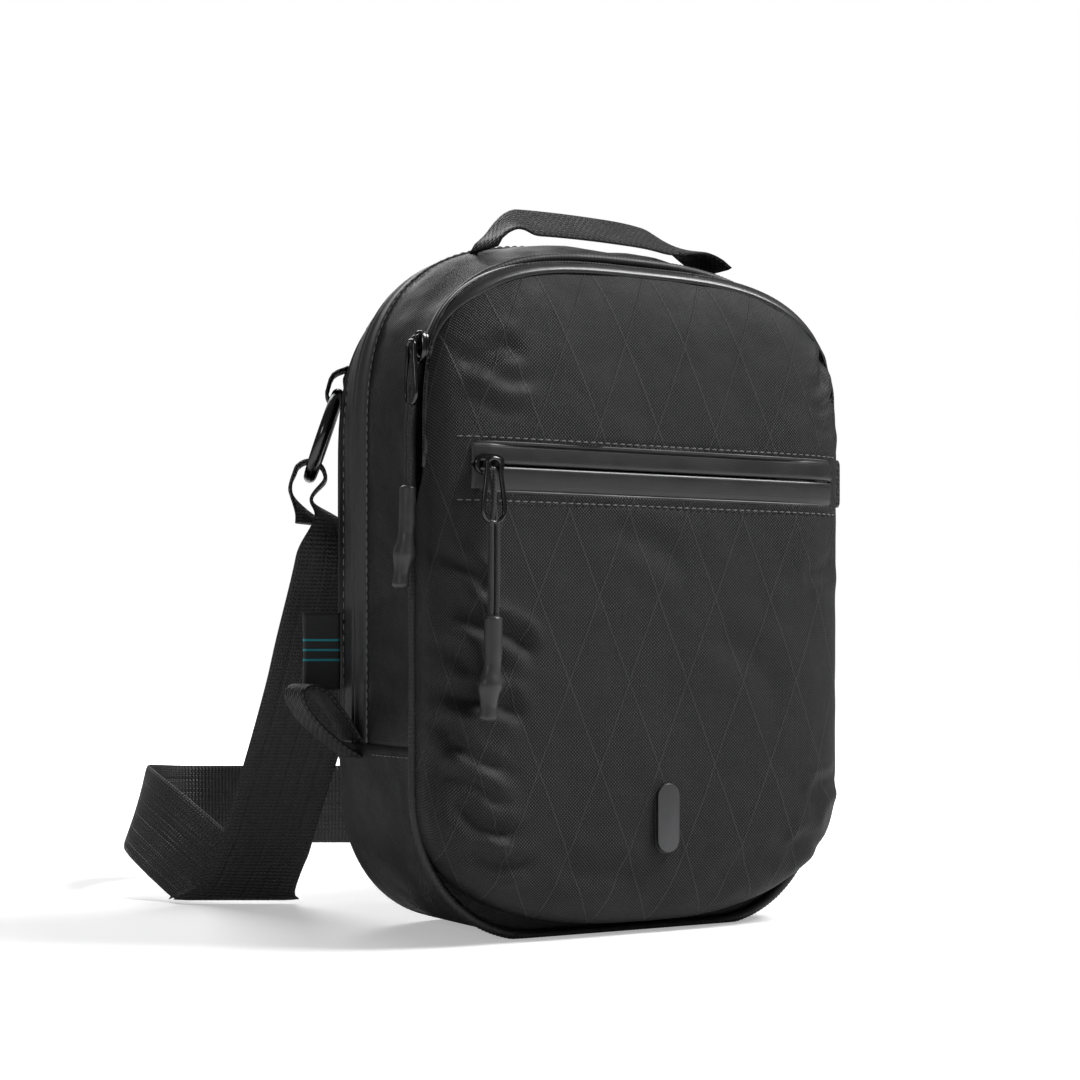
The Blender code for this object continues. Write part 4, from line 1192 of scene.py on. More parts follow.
def zip_band(name, outline, edge, line, body, node, material, **more):
    """One side of a zip: film from its sewn edge to the coil that bulges along the line."""
    rows = []
    uv = []
    for share, lift in TAPE_PROFILE:
        y = lerp(edge, line, share)
        row = outline(y, -lift * MM, **more)
        along = [0.0]
        for a, b in zip(row, row[1:]):
            along.append(along[-1] + (b - a).length / MM)
        rows.append(row)
        away = abs(line - y) / MM
        uv.append([(u - along[-1] / 2, away) for u in along])
    made = grid(name, rows, uv)
    dress(made, material)
    point_out(made, CENTRE)
    thicken(made, 0.5 * MM)
    return settle(made, body, "coated_tape", node)


def make_main_zip():
    fine = {"straight": 60, "steps": 60}
    line = Y_ZIP_LINE
    zip_band("main_zip_film_front", arch, Y_TAPE_FRONT - 1.2 * MM, line - 0.25 * MM,
             "bag_body", "main_zip_tape_front", "film_matte", **fine)
    zip_band("main_zip_film_rear", arch, Y_TAPE_REAR + 0.8 * MM, line + 0.25 * MM,
             "back_panel", "main_zip_tape_rear", "film_matte", **fine)


def seam_roll(name, points, radius, body, slot="shell_fabric", material="fabric_plain"):
    made = tube(name, points, radius, sides=8)
    dress(made, material)
    return settle(made, body, slot)


# ---------------------------------------------------------------- back panel

def make_rear_strip():
    stations = [(y, 0.0) for y in steps_between(Y_TAPE_REAR + 0.3 * MM, Y_BACK - 0.6 * MM, 6)]
    made = grid("rear_strip_cloth", station_rows(arch, stations, straight=60, steps=60))
    dress(made, "fabric_plain", "lining")
    point_out(made, CENTRE)
    push(made, soft_wrinkles(41.0, 0.7 * MM))
    thicken(made, 1.0 * MM)
    settle(made, "back_panel", "shell_fabric", "rear_strip")
    edge = even(arch(Y_BACK + 0.4 * MM, 0.9 * MM, low=HEM_Z + 0.5 * MM), 0.7 * MM)
    seam_roll("rear_binding", edge, 1.5 * MM, "back_panel", material="binding")


def panel_rows(y, inset, low, columns=48, lines=60):
    """A rectangular net fitted inside the arch: rows of constant height."""
    half, top = body_size(Y_BACK)
    half, top = half - inset, top - inset
    spring = top - TOP_RISE
    rows = []
    for i in range(lines + 1):
        z = lerp(low, top - 0.2 * MM, 1 - (1 - i / lines) ** 1.35)
        reach = half
        if z > spring:
            reach = half * max(0.0, 1 - ((z - spring) / TOP_RISE) ** TOP_POWER) ** (1 / TOP_POWER)
        rows.append([Vector((reach * lerp(-1, 1, j / columns), y, z)) for j in range(columns + 1)])
    return rows


def make_back_shell():
    rows = panel_rows(Y_BACK + 0.8 * MM, 0.6 * MM, HEM_Z + 0.4 * MM)
    uv = [[(p.x / MM, p.z / MM) for p in row] for row in rows]
    made = grid("back_shell_cloth", rows, uv)
    dress(made, "fabric_plain", "lining")
    point_out(made, CENTRE)
    push(made, lambda p, n: 0.5 * MM * ripple(p, 30 * MM, 51.0))
    thicken(made, 1.1 * MM)
    settle(made, "back_panel", "shell_fabric", "back_shell")


PAD_TOP = 5.4 * MM


def pad_height(x, z, reach, top):
    """Foam height over the back: full in the middle, sewn down round its edge and in channels."""
    spring = top - TOP_RISE
    side = 1 - abs(x) / reach
    edge = side * reach
    if z > spring:
        level = ((abs(x) / reach) ** TOP_POWER + ((z - spring) / TOP_RISE) ** TOP_POWER) ** (1 / TOP_POWER)
        edge = (1 - level) * TOP_RISE
    edge = min(edge, z - (HEM_Z + 4 * MM))
    full = 1 - math.exp(-max(0.0, edge) / (4.5 * MM))
    groove = 0.0
    for at in (-30 * MM, 30 * MM):
        lane = at * (1 + 0.25 * math.cos((z - 90 * MM) / (60 * MM)))
        groove = max(groove, bump(x, lane,
                2.6 * MM) * ease((z - 88 * MM) / (14 * MM)) * ease((top - 26 * MM - z) / (12 * MM)))
    for level in (130 * MM, 188 * MM):
        lane = level + 6 * MM * math.cos(x / (40 * MM))
        groove = max(groove, bump(z, lane, 2.6 * MM) * ease((reach - 12 * MM - abs(x)) / (10 * MM)))
    return PAD_TOP * full * (1 - 0.62 * groove)


def make_back_pad():
    inset = 12 * MM
    half, top = body_size(Y_BACK)
    reach, top = half - inset, top - inset
    rows = panel_rows(Y_BACK + 1.2 * MM, inset, HEM_Z + 4 * MM, columns=110, lines=130)
    placed = [[Vector((p.x, p.y + pad_height(p.x, p.z, reach, top), p.z)) for p in row] for row in rows]
    uv = [[(p.x / MM, p.z / MM) for p in row] for row in rows]
    made = grid("back_pad_mesh", placed, uv)
    dress(made, "mesh")
    point_out(made, CENTRE)
    thicken(made, 0.8 * MM)
    settle(made, "back_panel", "spacer_mesh", "back_pad")
    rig.padded(made, 0.8)
    edge = [rows[0][j] for j in range(0, len(rows[0]), 2)]
    over = arch(Y_BACK + 2.0 * MM, inset, low=HEM_Z + 4 * MM)
    line = even(list(over) + list(reversed(edge))[1:-1], 0.8 * MM, closed=True)
    line = [Vector((p.x, Y_BACK + 2.0 * MM, p.z)) for p in line]
    roll = tube("back_pad_binding", line, 1.6 * MM, sides=8, closed=True)
    dress(roll, "binding")
    settle(roll, "back_panel", "shell_fabric")


def make_back_lining():
    rows = panel_rows(Y_BACK - 1.6 * MM, 4 * MM, HEM_Z + 3 * MM)
    uv = [[(p.x / MM, p.z / MM) for p in row] for row in rows]
    made = grid("back_lining_cloth", rows, uv)
    dress(made, "lining")
    push(made, lambda p, n: 0.5 * MM * ripple(p, 40 * MM, 61.0))
    thicken(made, 0.6 * MM)
    settle(made, "back_panel", "lining", "back_lining")


LABEL_X = (-111 * MM, -95.0 * MM)
LABEL_Z = (96 * MM, 127 * MM)


def make_label():
    """A folded fabric label that stands out of the rear seam."""
    rows = []
    for i in range(19):
        z = lerp(*LABEL_Z, i / 18)
        row = []
        for j in range(13):
            share = j / 12
            x = lerp(LABEL_X[1], LABEL_X[0], share)
            curl = 1.6 * MM * share ** 2 * math.sin((z - 96 * MM) / (31 * MM) * math.pi)
            row.append(Vector((x, 47.2 * MM - curl * 0.5, z)))
        rows.append(row)
    made = grid("side_label_cloth", rows)
    dress(made, "label")
    thicken(made, 1.3 * MM)
    settle(made, "back_panel", "label_fabric", "side_label")


# ---------------------------------------------------------------- front compartment

def cover_rows():
    """Rows of (rho, y function) from the cover's rim to the middle of its face."""
    rows = [(1.0, lambda z: rim_start(z)), (1.0, lambda z: lerp(rim_start(z), -30.5 * MM, 0.5))]
    for i in range(13):
        share = 0.9 * i / 12
        rho = (1 - share ** COVER_EDGE_POWER) ** (1 / COVER_FULLNESS)
        depth = cover_depth(rho)
        rows.append((rho, lambda z, depth=depth: min(leaned(depth, z), rim_start(z) - 0.2 * MM)))
    inner = (POCKET_RIGHT / COVER_HALF, -POCKET_LEFT / COVER_HALF)
    last = rows[-1][0]
    rhos = [0.90, inner[0], 0.87, inner[1]]
    rhos += [0.80 - 0.8 * i / 40 for i in range(41)]
    for rho in sorted((r for r in rhos if r < last - 0.004), reverse=True):
        depth = cover_depth(rho)
        rows.append((rho, lambda z, depth=depth: leaned(depth, z)))
    return rows


def make_cover():
    """The padded front panel, cut out round its zip."""
    rows = []
    uv = []
    steps = {"top_steps": 44, "side_steps": 74, "base_steps": 40}
    face = cover_ring(1.0, **steps)
    for rho, depth_at in cover_rows():
        row = []
        place = []
        for (ex, ez), (x, z) in zip(face, cover_ring(rho, **steps)):
            y = depth_at(z)
            row.append(Vector((x, y, z)))
            away = Vector((ex, ez - 125 * MM)).normalized()
            extra = max(0.0, y - leaned(COVER_SIDE + COVER_CROWN, z)) * 0.9
            place.append(((x + away.x * extra) / MM, (z + away.y * extra) / MM))
        rows.append(row)
        uv.append(place)
    made = cover_sheet("front_cover_cloth", rows, uv)
    dress(made, "fabric", "lining")
    point_out(made, CENTRE)
    sub = made.modifiers.new("fine", "SUBSURF")
    sub.subdivision_type = "SIMPLE"
    sub.levels = 1
    baked(made)
    push(made, cover_relief)
    thicken(made, 1.2 * MM)
    settle(made, "front_panel", "shell_fabric", "front_cover")


def in_slot(x, z):
    return POCKET_LEFT < x < POCKET_RIGHT and POCKET_LOW < z < POCKET_HIGH


def cover_sheet(name, rows, uv):
    shape = bmesh.new()
    layer = shape.loops.layers.uv.new("UVMap")
    made = [[shape.verts.new(p) for p in row] for row in rows]
    columns = len(rows[0])
    for i in range(len(rows) - 1):
        for j in range(columns):
            k = (j + 1) % columns
            corners = (made[i][j], made[i][k], made[i + 1][k], made[i + 1][j])
            middle = (corners[0].co + corners[1].co + corners[2].co + corners[3].co) / 4
            if in_slot(middle.x, middle.z):
                continue
            face = shape.faces.new(corners)
            for loop, place in zip(face.loops, (uv[i][j], uv[i][k], uv[i + 1][k], uv[i + 1][j])):
                loop[layer].uv = place
    bmesh.ops.remove_doubles(shape, verts=shape.verts, dist=0.05 * MM)
    loose = [v for v in shape.verts if not v.link_faces]
    bmesh.ops.delete(shape, geom=loose, context="VERTS")
    bmesh.ops.recalc_face_normals(shape, faces=shape.faces)
    for face in shape.faces:
        face.smooth = True
    mesh = bpy.data.meshes.new(name)
    shape.to_mesh(mesh)
    shape.free()
    return link(name, mesh)


def pocket_y(x, z):
    """The pocket zip runs straight where its slider travels."""
    return max(cover_y(x, z) + 0.5 * MM, Y_SEAM - 22.6 * MM)


POCKET_PROFILE = ((0.0, 0.0), (0.10, 0.25), (0.25, 0.65), (0.42, 0.98), (0.60, 1.22), (0.76, 1.38),
                  (0.88, 1.40), (0.95, 1.20), (0.985, 0.7), (1.0, -0.3))


def make_pocket_zip():
    edges = {"upper": POCKET_HIGH + 2.2 * MM, "lower": POCKET_LOW - 2.2 * MM}
    for word, edge in edges.items():
        rows = []
        uv = []
        line = POCKET_Z + (0.25 * MM if word == "upper" else -0.25 * MM)
        for share, lift in POCKET_PROFILE:
            z = lerp(edge, line, share)
            row = []
            place = []
            for j in range(141):
                x = lerp(POCKET_LEFT - 1.5 * MM, POCKET_RIGHT + 1.5 * MM, j / 140)
                tuck = 1.2 * MM * (1 - ease(share / 0.22))
                row.append(Vector((x, pocket_y(x, z) - lift * MM + tuck, z)))
                place.append((x / MM, abs(z - POCKET_Z) / MM))
            rows.append(row)
            uv.append(place)
        made = grid(f"pocket_zip_film_{word}", rows, uv)
        dress(made, "film")
        point_out(made, CENTRE)
        thicken(made, 0.4 * MM)
        settle(made, "front_panel", "coated_tape", f"pocket_zip_tape_{word}")


def welt_line(z, first, last, proud, count=90):
    """Points along the cover's face at a height, with normals."""
    found = []
    for i in range(count + 1):
        x = lerp(first, last, i / count)
        y = cover_y(x, z)
        slope_x = (cover_y(x + MM, z) - cover_y(x - MM, z)) / (2 * MM)
        slope_z = (cover_y(x, z + MM) - cover_y(x, z - MM)) / (2 * MM)
        normal = Vector((slope_x, -1, slope_z)).normalized()
        found.append((Vector((x, y, z)) + normal * proud, normal))
    return found


def make_welts():
    """Rolled edges above and below the pocket zip."""
    parts = []
    for z, first, last, radius in ((POCKET_HIGH + 0.1 * MM, POCKET_LEFT, POCKET_RIGHT, 0.8 * MM),
                                   (POCKET_LOW - 0.1 * MM, POCKET_LEFT, POCKET_RIGHT, 0.7 * MM)):
        line = [p for p, _ in welt_line(z, first, last, -0.55 * MM)]
        parts.append(tube("welt", line, radius, sides=8))
    made = joined("pocket_welts", parts)
    dress(made, "binding")
    settle(made, "front_panel", "shell_fabric")


def make_badge():
    centre_x, centre_z = BADGE
    outline = []
    for start in (0, math.pi):
        lift = 8.5 if start == 0 else -8.5
        for i in range(17):
            turn = start + math.pi * i / 16
            outline.append((5 * math.cos(turn), lift + 5 * math.sin(turn)))
    face = cover_y(centre_x, centre_z)
    turn = Matrix.Translation((centre_x, face - 2.0 * MM,
            centre_z)) @ Matrix.Rotation(math.radians(90), 4, "X")
    made = prism("badge_plate", outline, -1.9 * MM, 0.45 * MM, turn)
    dress(made, "badge")
    settle(made, "front_panel", "badge_metal", "badge")
    bed = prism("badge_seat", [(x * 1.10, z * 1.04) for x, z in outline], -1.0 * MM, 0.2 * MM,
                Matrix.Translation((centre_x, face - 0.5 * MM,
                        centre_z)) @ Matrix.Rotation(math.radians(90), 4, "X"))
    dress(bed, "plastic")
    settle(bed, "front_panel", "badge_metal")


def cover_edge_rows(stations, low, steps=90):
    """Rows over the top of the cover. A station is (rho, y, lift), with y at the top."""
    rows = []
    for size, y, lift in stations:
        row = []
        for p in cover_arch(0, -lift * MM, steps, low):
            rho = size(p.z) if callable(size) else size
            x, z = p.x * rho, TOP_SPRING + (p.z - TOP_SPRING) * rho if p.z > TOP_SPRING else p.z
            row.append(Vector((x, y(z) if callable(y) else y, z)))
        rows.append(row)
    return rows


FILM_LOW, FILM_END = 194 * MM, 226 * MM


def film_rho(share, z):
    """How far in from the cover's edge the film reaches. It narrows towards the slider."""
    narrow = lerp(0.30, 1.0, ease((z - FILM_END) / (28 * MM)))
    return (1 - (share * narrow) ** COVER_EDGE_POWER) ** (1 / COVER_FULLNESS)


def film_y(share, z):
    return min(leaned(cover_depth(film_rho(share, z)) + 0.6 * MM, z), -31.2 * MM)


def make_front_zip():
    """Film on both sides of the front zip, which rolls over the cover's top edge."""
    low = FILM_LOW
    body = [(1.0, Y_SEAM - 1.2 * MM, 0.2), (1.0, -24.5 * MM, 0.5), (1.0, -26.2 * MM, 0.6),
            (1.0, -26.9 * MM, 1.2), (1.0, -27.6 * MM, 1.4), (1.0, -28.1 * MM, 1.0), (1.0, -28.3 * MM, -0.2)]
    film_from(body, low, "front_zip_film_body", "bag_body", "front_zip_tape_body")
    cover = [(1.0, -28.7 * MM, -0.2), (1.0, -28.9 * MM, 1.0), (1.0, -29.4 * MM, 1.4), (1.0, -30.1 * MM, 1.2),
             (1.0, -30.8 * MM, 0.7)]
    for i in range(8):
        share = 0.62 * i / 7
        lift = 0.9 if i < 7 else 0.3
        cover.append((lambda z, share=share: film_rho(share, z), lambda z, share=share: film_y(share,
                z), lift))
    film_from(cover, low, "front_zip_film_cover", "front_panel", "front_zip_tape_cover")


def film_from(stations, low, name, body, node):
    rows = cover_edge_rows(stations, low)
    kept = [i for i, p in enumerate(rows[0]) if p.z >= FILM_END]
    rows = [[row[i] for i in kept] for row in rows]
    uv = []
    for row in rows:
        along = [0.0]
        for a, b in zip(row, row[1:]):
            along.append(along[-1] + (b - a).length / MM)
        away = abs(row[len(row) // 2].y + 28.5 * MM) / MM
        uv.append([(u - along[-1] / 2, away) for u in along])
    made = grid(name, rows, uv)
    dress(made, "film")
    point_out(made, (0, 0, 140 * MM))
    thicken(made, 0.4 * MM)
    settle(made, body, "coated_tape", node)


def make_front_gusset():
    """The folding wall inside the front compartment."""
    rows = []
    for i in range(9):
        y = lerp(Y_SEAM - 0.4 * MM, -27 * MM, i / 8)
        inset = 3.6 * MM + 0.9 * MM * math.sin(math.pi * i / 8)
        half = COVER_HALF - inset
        curve = corner(half, COVER_BASE_RISE - inset, COVER_BASE_POWER, 30)
        left = [(-half, lerp(186 * MM, BASE_SPRING, k / 12)) for k in range(12)]
        left += [(-x, BASE_SPRING - z) for x, z in curve]
        right = [(-x, z) for x, z in reversed(left[:-1])]
        rows.append([Vector((x, y, z)) for x, z in left + right])
    made = grid("front_gusset_cloth", rows)
    dress(made, "lining")
    thicken(made, 0.6 * MM)
    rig.slot(made, "lining")
    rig.replaces(made, "front_gusset")
    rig.blend(made, "bag_body", "front_panel", (0, Y_SEAM - 0.4 * MM, 100 * MM), (0, -27 * MM, 100 * MM))


# ---------------------------------------------------------------- handle and loops

HANDLE_Y, HANDLE_WIDTH, LOOP_WIDTH = -1 * MM, 25 * MM, 20 * MM
HANDLE_TIP = math.radians(34)
HANDLE_PATH = ((-52, 272.9), (-48, 277.8), (-42.5, 281.8), (-36, 283.4), (-18, 283.9), (2, 283.7),
               (17, 283.0), (31, 280.9), (43, 278.0), (52, 273.6))


def body_surface_z(x, y):
    half, top = body_size(y)
    share = 1 - (abs(x) / half) ** TOP_POWER
    return top - TOP_RISE + TOP_RISE * share ** (1 / TOP_POWER)


def lift_over_body(point):
    reach = (-HANDLE_WIDTH / 2, 0, HANDLE_WIDTH / 2)
    floor = max(body_surface_z(point.x, point.y + dy) for dy in reach)
    return Vector((point.x, point.y, max(point.z, floor + 1.7 * MM)))


def handle_across(x):
    share = ease((x + 50 * MM) / (16 * MM)) * ease((50 * MM - x) / (26 * MM))
    tip = HANDLE_TIP * share
    return Vector((0, math.cos(tip), math.sin(tip)))


def make_handle():
    route = [lift_over_body(Vector((x * MM, HANDLE_Y, z * MM))) for x, z in HANDLE_PATH]
    coarse = smooth_route(route, 2)
    first, last = coarse[5], coarse[-5]
    fine = smooth_route(route, 12)
    cut_a = min(range(len(fine)), key=lambda i: (fine[i] - first).length)
    cut_b = min(range(len(fine)), key=lambda i: (fine[i] - last).length)
    down = [fine[0] + Vector((-2.0, 0, -3.4)) * MM] + fine[:cut_a + 1]
    over = fine[cut_b:] + [fine[-1] + Vector((4.0, 0, -2.6)) * MM]
    pieces = (("handle_left", down, "handle_end_left"), ("handle_top", fine[cut_a:cut_b + 1], "handle_grip"),
              ("handle_right", over, "handle_end_right"))
    for name, run, node in pieces:
        made = ribbon(name, run, [handle_across(p.x) for p in run], HANDLE_WIDTH, 1.7 * MM, columns=16)
        dress(made, "webbing")
        if node == "handle_grip":
            settle(made, "handle", "webbing", node)
            continue
        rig.slot(made, "webbing")
        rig.replaces(made, node)
        sewn, free = (run[0], run[-1]) if node == "handle_end_left" else (run[-1], run[0])
        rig.blend(made, "bag_body", "handle", sewn, free)


PULL_LOOP = ((-97.0, 70.0), (-105.0, 75.0), (-114.0, 82.5), (-120.0, 90.0), (-121.5, 95.5), (-118.0, 98.0),
             (-112.0, 96.0), (-105.5, 89.0), (-100.5, 82.0), (-97.0, 76.5))
SIDE_LOOP = ((95.4, -17.5), (101.5, -18.0), (107.0, -17.2), (110.5, -14.6), (110.6, -10.6), (107.2, -7.9),
             (102.0, -7.0), (95.4, -7.4))


def make_loops():
    route = smooth_route([Vector((x, Y_ZIP_LINE / MM, z)) * MM for x, z in PULL_LOOP], 6)
    made = ribbon("pull_loop_webbing", route, [Vector((0, 1, 0))] * len(route), LOOP_WIDTH, 1.6 * MM,
            columns=14)
    dress(made, "webbing")
    settle(made, "bag_body", "webbing", "zip_pull_loop")
    route = smooth_route([Vector((x, y, 183.5)) * MM for x, y in SIDE_LOOP], 6)
    made = ribbon("side_loop_webbing", route, [Vector((0, 0, 1))] * len(route), LOOP_WIDTH, 1.6 * MM,
            columns=14)
    dress(made, "webbing")
    settle(made, "bag_body", "webbing", "side_loop")


# ---------------------------------------------------------------- rings and strap

RING_CENTRE = Vector((93.2, 66.4, 200.5)) * MM
RING_VIEW, RING_HANG = Vector((0.40, 0.917, 0)), Vector((0.275, 0.172, -0.945))
RING_RADIUS, RING_WIRE = 18 * MM, 2.5 * MM
STRAP_WIDTH, STRAP_THICK, BUNCH_WIDTH, TAB_WIDTH = 38 * MM, 1.5 * MM, 18 * MM, 12 * MM


def ring_frame(side):
    centre = RING_CENTRE * Vector((side, 1, 1))
    view = Vector((-side * RING_VIEW.x, RING_VIEW.y, 0)).normalized()
    hang = Vector((side * RING_HANG.x, RING_HANG.y, RING_HANG.z))
    hang = (hang - view * hang.dot(view)).normalized()
    return centre, view, hang


def ring_sag(width):
    return RING_RADIUS - math.sqrt(RING_RADIUS ** 2 - (width / 2) ** 2)


def make_ring(word, side):
    centre, view, hang = ring_frame(side)
    turns = [2 * math.pi * i / 96 for i in range(96)]
    points = [centre + (view * math.cos(t) + hang * math.sin(t)) * RING_RADIUS for t in turns]
    made = tube(f"{word}_ring_metal", points, RING_WIRE, sides=16, closed=True)
    dress(made, "metal")
    settle(made, f"{word}_ring", "black_metal", f"{word}_ring")


def make_ring_tab(word, side):
    centre, view, hang = ring_frame(side)
    top = centre - hang * RING_RADIUS
    away = view.cross(hang) * (1 if view.cross(hang).y > 0 else -1)
    radius = RING_WIRE + 1.0 * MM + ring_sag(TAB_WIDTH)
    up = Vector((-side * 0.12, 0.08, 0.99)).normalized()
    points = [top + up * 11 * MM - away * radius * 0.2 + Vector((-side * 3 * MM, -3 * MM, 0))]
    points.append(top + up * 7 * MM - away * radius * 0.5)
    for i in range(13):
        turn = math.pi * i / 12
        points.append(top - away * radius * math.cos(turn) + hang * radius * math.sin(turn))
    points.append(top + up * 7 * MM + away * radius * 0.6)
    points.append(top + up * 11 * MM - away * radius * 0.0 + Vector((-side * 3 * MM, -2 * MM, 0)))
    route = smooth_route(points, 3)
    made = ribbon(f"{word}_tab_webbing", route, [view] * len(route), TAB_WIDTH + 2 * MM, 1.5 * MM)
    dress(made, "webbing")
    settle(made, "back_panel", "webbing", f"{word}_ring_tab")


FLOOR_GAP = 1.4 * MM
STRAP_TAIL = Vector((-96.5, 70.5, 164.0)) * MM
STRAP_EXIT = Vector((-91.5, 64.5, 165.0)) * MM
STRAP_MIDDLE = (
    ((-88.5, 64.5, 148), (1.0, 0.08, 0.0)), ((-87.5, 84, 112), (0.95, -0.31, 0.0)),
    ((-87.5, 98, 88), (0.88, -0.47, 0.0)), ((-90.0, 122, 47), (0.85, -0.53, 0.0)),
    ((-93.0, 136, 21), (0.85, -0.53, 0.0)), ((-99.5, 148.5, 1.8), (0.85, -0.53, 0.0)),
    ((-108.3, 163.3, 14), (0.70, -0.41, 0.57)), ((-116.5, 186, 27), (0.58, -0.30, 0.74)),
    ((-119.7, 217, 38), (0.34, -0.20, 0.92)), ((-106.0, 249, 38), (0.10, -0.05, 0.99)),
    ((-80.0, 267, 36), (0.0, 0.0, 1.0)), ((-48.5, 247, 36), (0.0, 0.0, 1.0)),
    ((-15.0, 226.5, 36), (0.0, 0.0, 1.0)), ((30.0, 199, 36), (0.0, 0.02, 1.0)),
    ((74.0, 174, 38), (0.0, 0.10, 0.99)), ((104.0, 154, 49), (-0.30, 0.40, 0.87)),
    ((116.0, 131, 73), (-0.52, 0.66, 0.50)),
)
ADJUSTER_START = Vector((117, 112, 100)) * MM
ADJUSTER_SHARE = 0.28


def strap_left():
    centre, view, hang = ring_frame(-1)
    foot = centre + hang * RING_RADIUS
    away = view.cross(hang)
    if away.x < 0:
        away = -away
    radius = RING_WIRE + 0.3 * MM + STRAP_THICK / 2 + ring_sag(BUNCH_WIDTH) + 0.3 * MM
    route = [(STRAP_TAIL, Vector((0.80, 0.60, 0.0))), (foot + hang * 9 * MM - away * radius * 0.8, view)]
    for i in range(7):
        turn = math.pi * i / 6
        route.append((foot - away * radius * math.cos(turn) - hang * radius * math.sin(turn), view))
    route.append((foot + hang * 9 * MM + away * radius * 0.6, view))
    route.append((STRAP_EXIT, Vector((0.80, 0.60, 0.0))))
    return route


def mirrored(p):
    return Vector((-p.x, p.y, p.z))


def strap_right():
    return [(mirrored(p), mirrored(w)) for p, w in reversed(strap_left())]


def strap_route(steps):
    middle = [(Vector(p) * MM, Vector(w)) for p, w in STRAP_MIDDLE]
    right = strap_right()
    halfway = ADJUSTER_START.lerp(right[0][0], 0.55)
    before = [(ADJUSTER_START, Vector((-0.62, 0.72, 0.15))), (halfway, Vector((-0.58, 0.80, 0.0)))]
    nodes = strap_left() + middle + before + right
    return smooth_route([p for p, _ in nodes], steps), smooth_route([w for _, w in nodes], steps)


def above_floor(points, sides, widths):
    """The points, raised where the strap's lower edge would go under the floor."""
    raised = []
    for point, run, side, width in zip(points, tangents(points), sides, widths):
        low = point.z - abs(side.normalized().z) * slanted(width, side, run) / 2
        raised.append(point + Vector((0, 0, max(0.0, FLOOR_GAP - low))))
    return raised


def make_strap():
    points, sides = strap_route(12)
    feet = []
    for side in (-1, 1):
        centre, _, hang = ring_frame(side)
        feet.append(centre + hang * RING_RADIUS)
    widths = []
    for point in points:
        near = min((point - foot).length for foot in feet)
        spread = ease((near - 9 * MM) / (26 * MM))
        widths.append(lerp(BUNCH_WIDTH, STRAP_WIDTH, spread))
    for _ in range(3):
        points = above_floor(points, sides, widths)
    made = ribbon("shoulder_strap_webbing", points, sides, widths, STRAP_THICK, columns=22)
    dress(made, "strap")
    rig.slot(made, "webbing")
    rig.replaces(made, "shoulder_strap")
    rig.blend(made, "bag_body", "back_panel", (0, 0, 56 * MM), (0, 0, 95 * MM))
    long = sum((b - a).length for a, b in zip(points, points[1:]))
    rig.cord(made, exit=points[0], length=round(long, 3), diameter=STRAP_WIDTH, far_end="object",
            stiffness="medium", lay="loose", path=points, with_pieces=[])


def make_adjuster():
    last = strap_right()[0][0]
    run = (last - ADJUSTER_START).normalized()
    at = ADJUSTER_START.lerp(last, ADJUSTER_SHARE)
    wide = Vector((-0.60, 0.76, 0.07))
    wide = (wide - run * wide.dot(run)).normalized()
    deep = run.cross(wide)
    half = STRAP_WIDTH / 2 / MM
    bars = (((-half - 4, -1.9, -10.5), (-half - 0.8, 2.6, 10.5)), ((half + 0.8, -1.9, -10.5),
            (half + 4, 2.6, 10.5)),
            ((-half - 2, 1.5, -10.3), (half + 2, 4.2, -6.8)), ((-half - 2, 1.5, 6.8), (half + 2, 4.2, 10.3)),
            ((-half - 2, -4.3, -2.2), (half + 2, -1.4, 2.2)))
    parts = []
    for low, high in bars:
        parts.append(block("bar", Vector(low) * MM, Vector(high) * MM, 1.1 * MM, 4))
    made = joined("adjuster_moulding", parts)
    made.data.transform(Matrix.Translation(at) @ Matrix((wide, deep, run)).transposed().to_4x4())
    dress(made, "plastic")
    settle(made, "strap_adjuster", "black_plastic", "strap_adjuster")


# ---------------------------------------------------------------- pullers

BAIL_LENGTH, BAIL_HALF, BAIL_WIRE = 24 * MM, 4.4 * MM, 0.9 * MM


def slider_body(name, centre, run, out, body, node):
    """A rounded slider with a shield-shaped plate and a two-rail bridge."""
    across = out.cross(run)
    turn = Matrix.Translation(centre) @ Matrix((run, across, out)).transposed().to_4x4()
    outline = []
    for i in range(40):
        t = 2 * math.pi * i / 40
        c, s = math.cos(t), math.sin(t)
        wide = 4.3 * (1 - 0.16 * (c < 0) * c * c)
        outline.append((6.2 * math.copysign(abs(c) ** 0.75, c), wide * math.copysign(abs(s) ** 0.75, s)))
    plate = prism("plate", outline, 1.9 * MM, 0.6 * MM, turn)
    low = prism("low", [(x * 0.94, y * 0.9) for x, y in outline], -1.1 * MM, 0.3 * MM, turn)
    parts = [plate, low]
    for side in (-1.75, 1.75):
        rail = []
        for i in range(17):
            t = math.pi * i / 16
            rail.append(turn @ (Vector((-3.9 * math.cos(t), side, 1.2 + 2.5 * math.sin(t) ** 0.6)) * MM))
        parts.append(tube("rail", rail, 0.85 * MM, sides=10))
    made = joined(name, parts)
    dress(made, "metal")
    return settle(made, body, "black_metal", node)


def bail_points(pivot, hang, across):
    """The wire's line: narrow and round at the crossbar, wide at the foot."""
    line = []
    top, wide = 0.62 * BAIL_HALF, BAIL_HALF
    for i in range(15):
        t = math.pi * i / 14
        line.append(pivot + across * top * math.cos(t) + hang * (1.9 * MM * (1 - math.sin(t))))
    for i in range(1, 12):
        share = i / 12
        line.append(pivot - across * lerp(top, wide, ease(share)) + hang * lerp(1.9 * MM,
                BAIL_LENGTH - wide, share))
    for i in range(19):
        t = math.pi + math.pi * i / 18
        line.append(pivot + hang * (BAIL_LENGTH - wide) + across * wide * math.cos(t) - hang * wide * math.sin(t))
    for i in range(1, 12):
        share = i / 12
        line.append(pivot + across * lerp(wide, top, ease(share)) + hang * lerp(BAIL_LENGTH - wide,
                1.9 * MM, share))
    return line


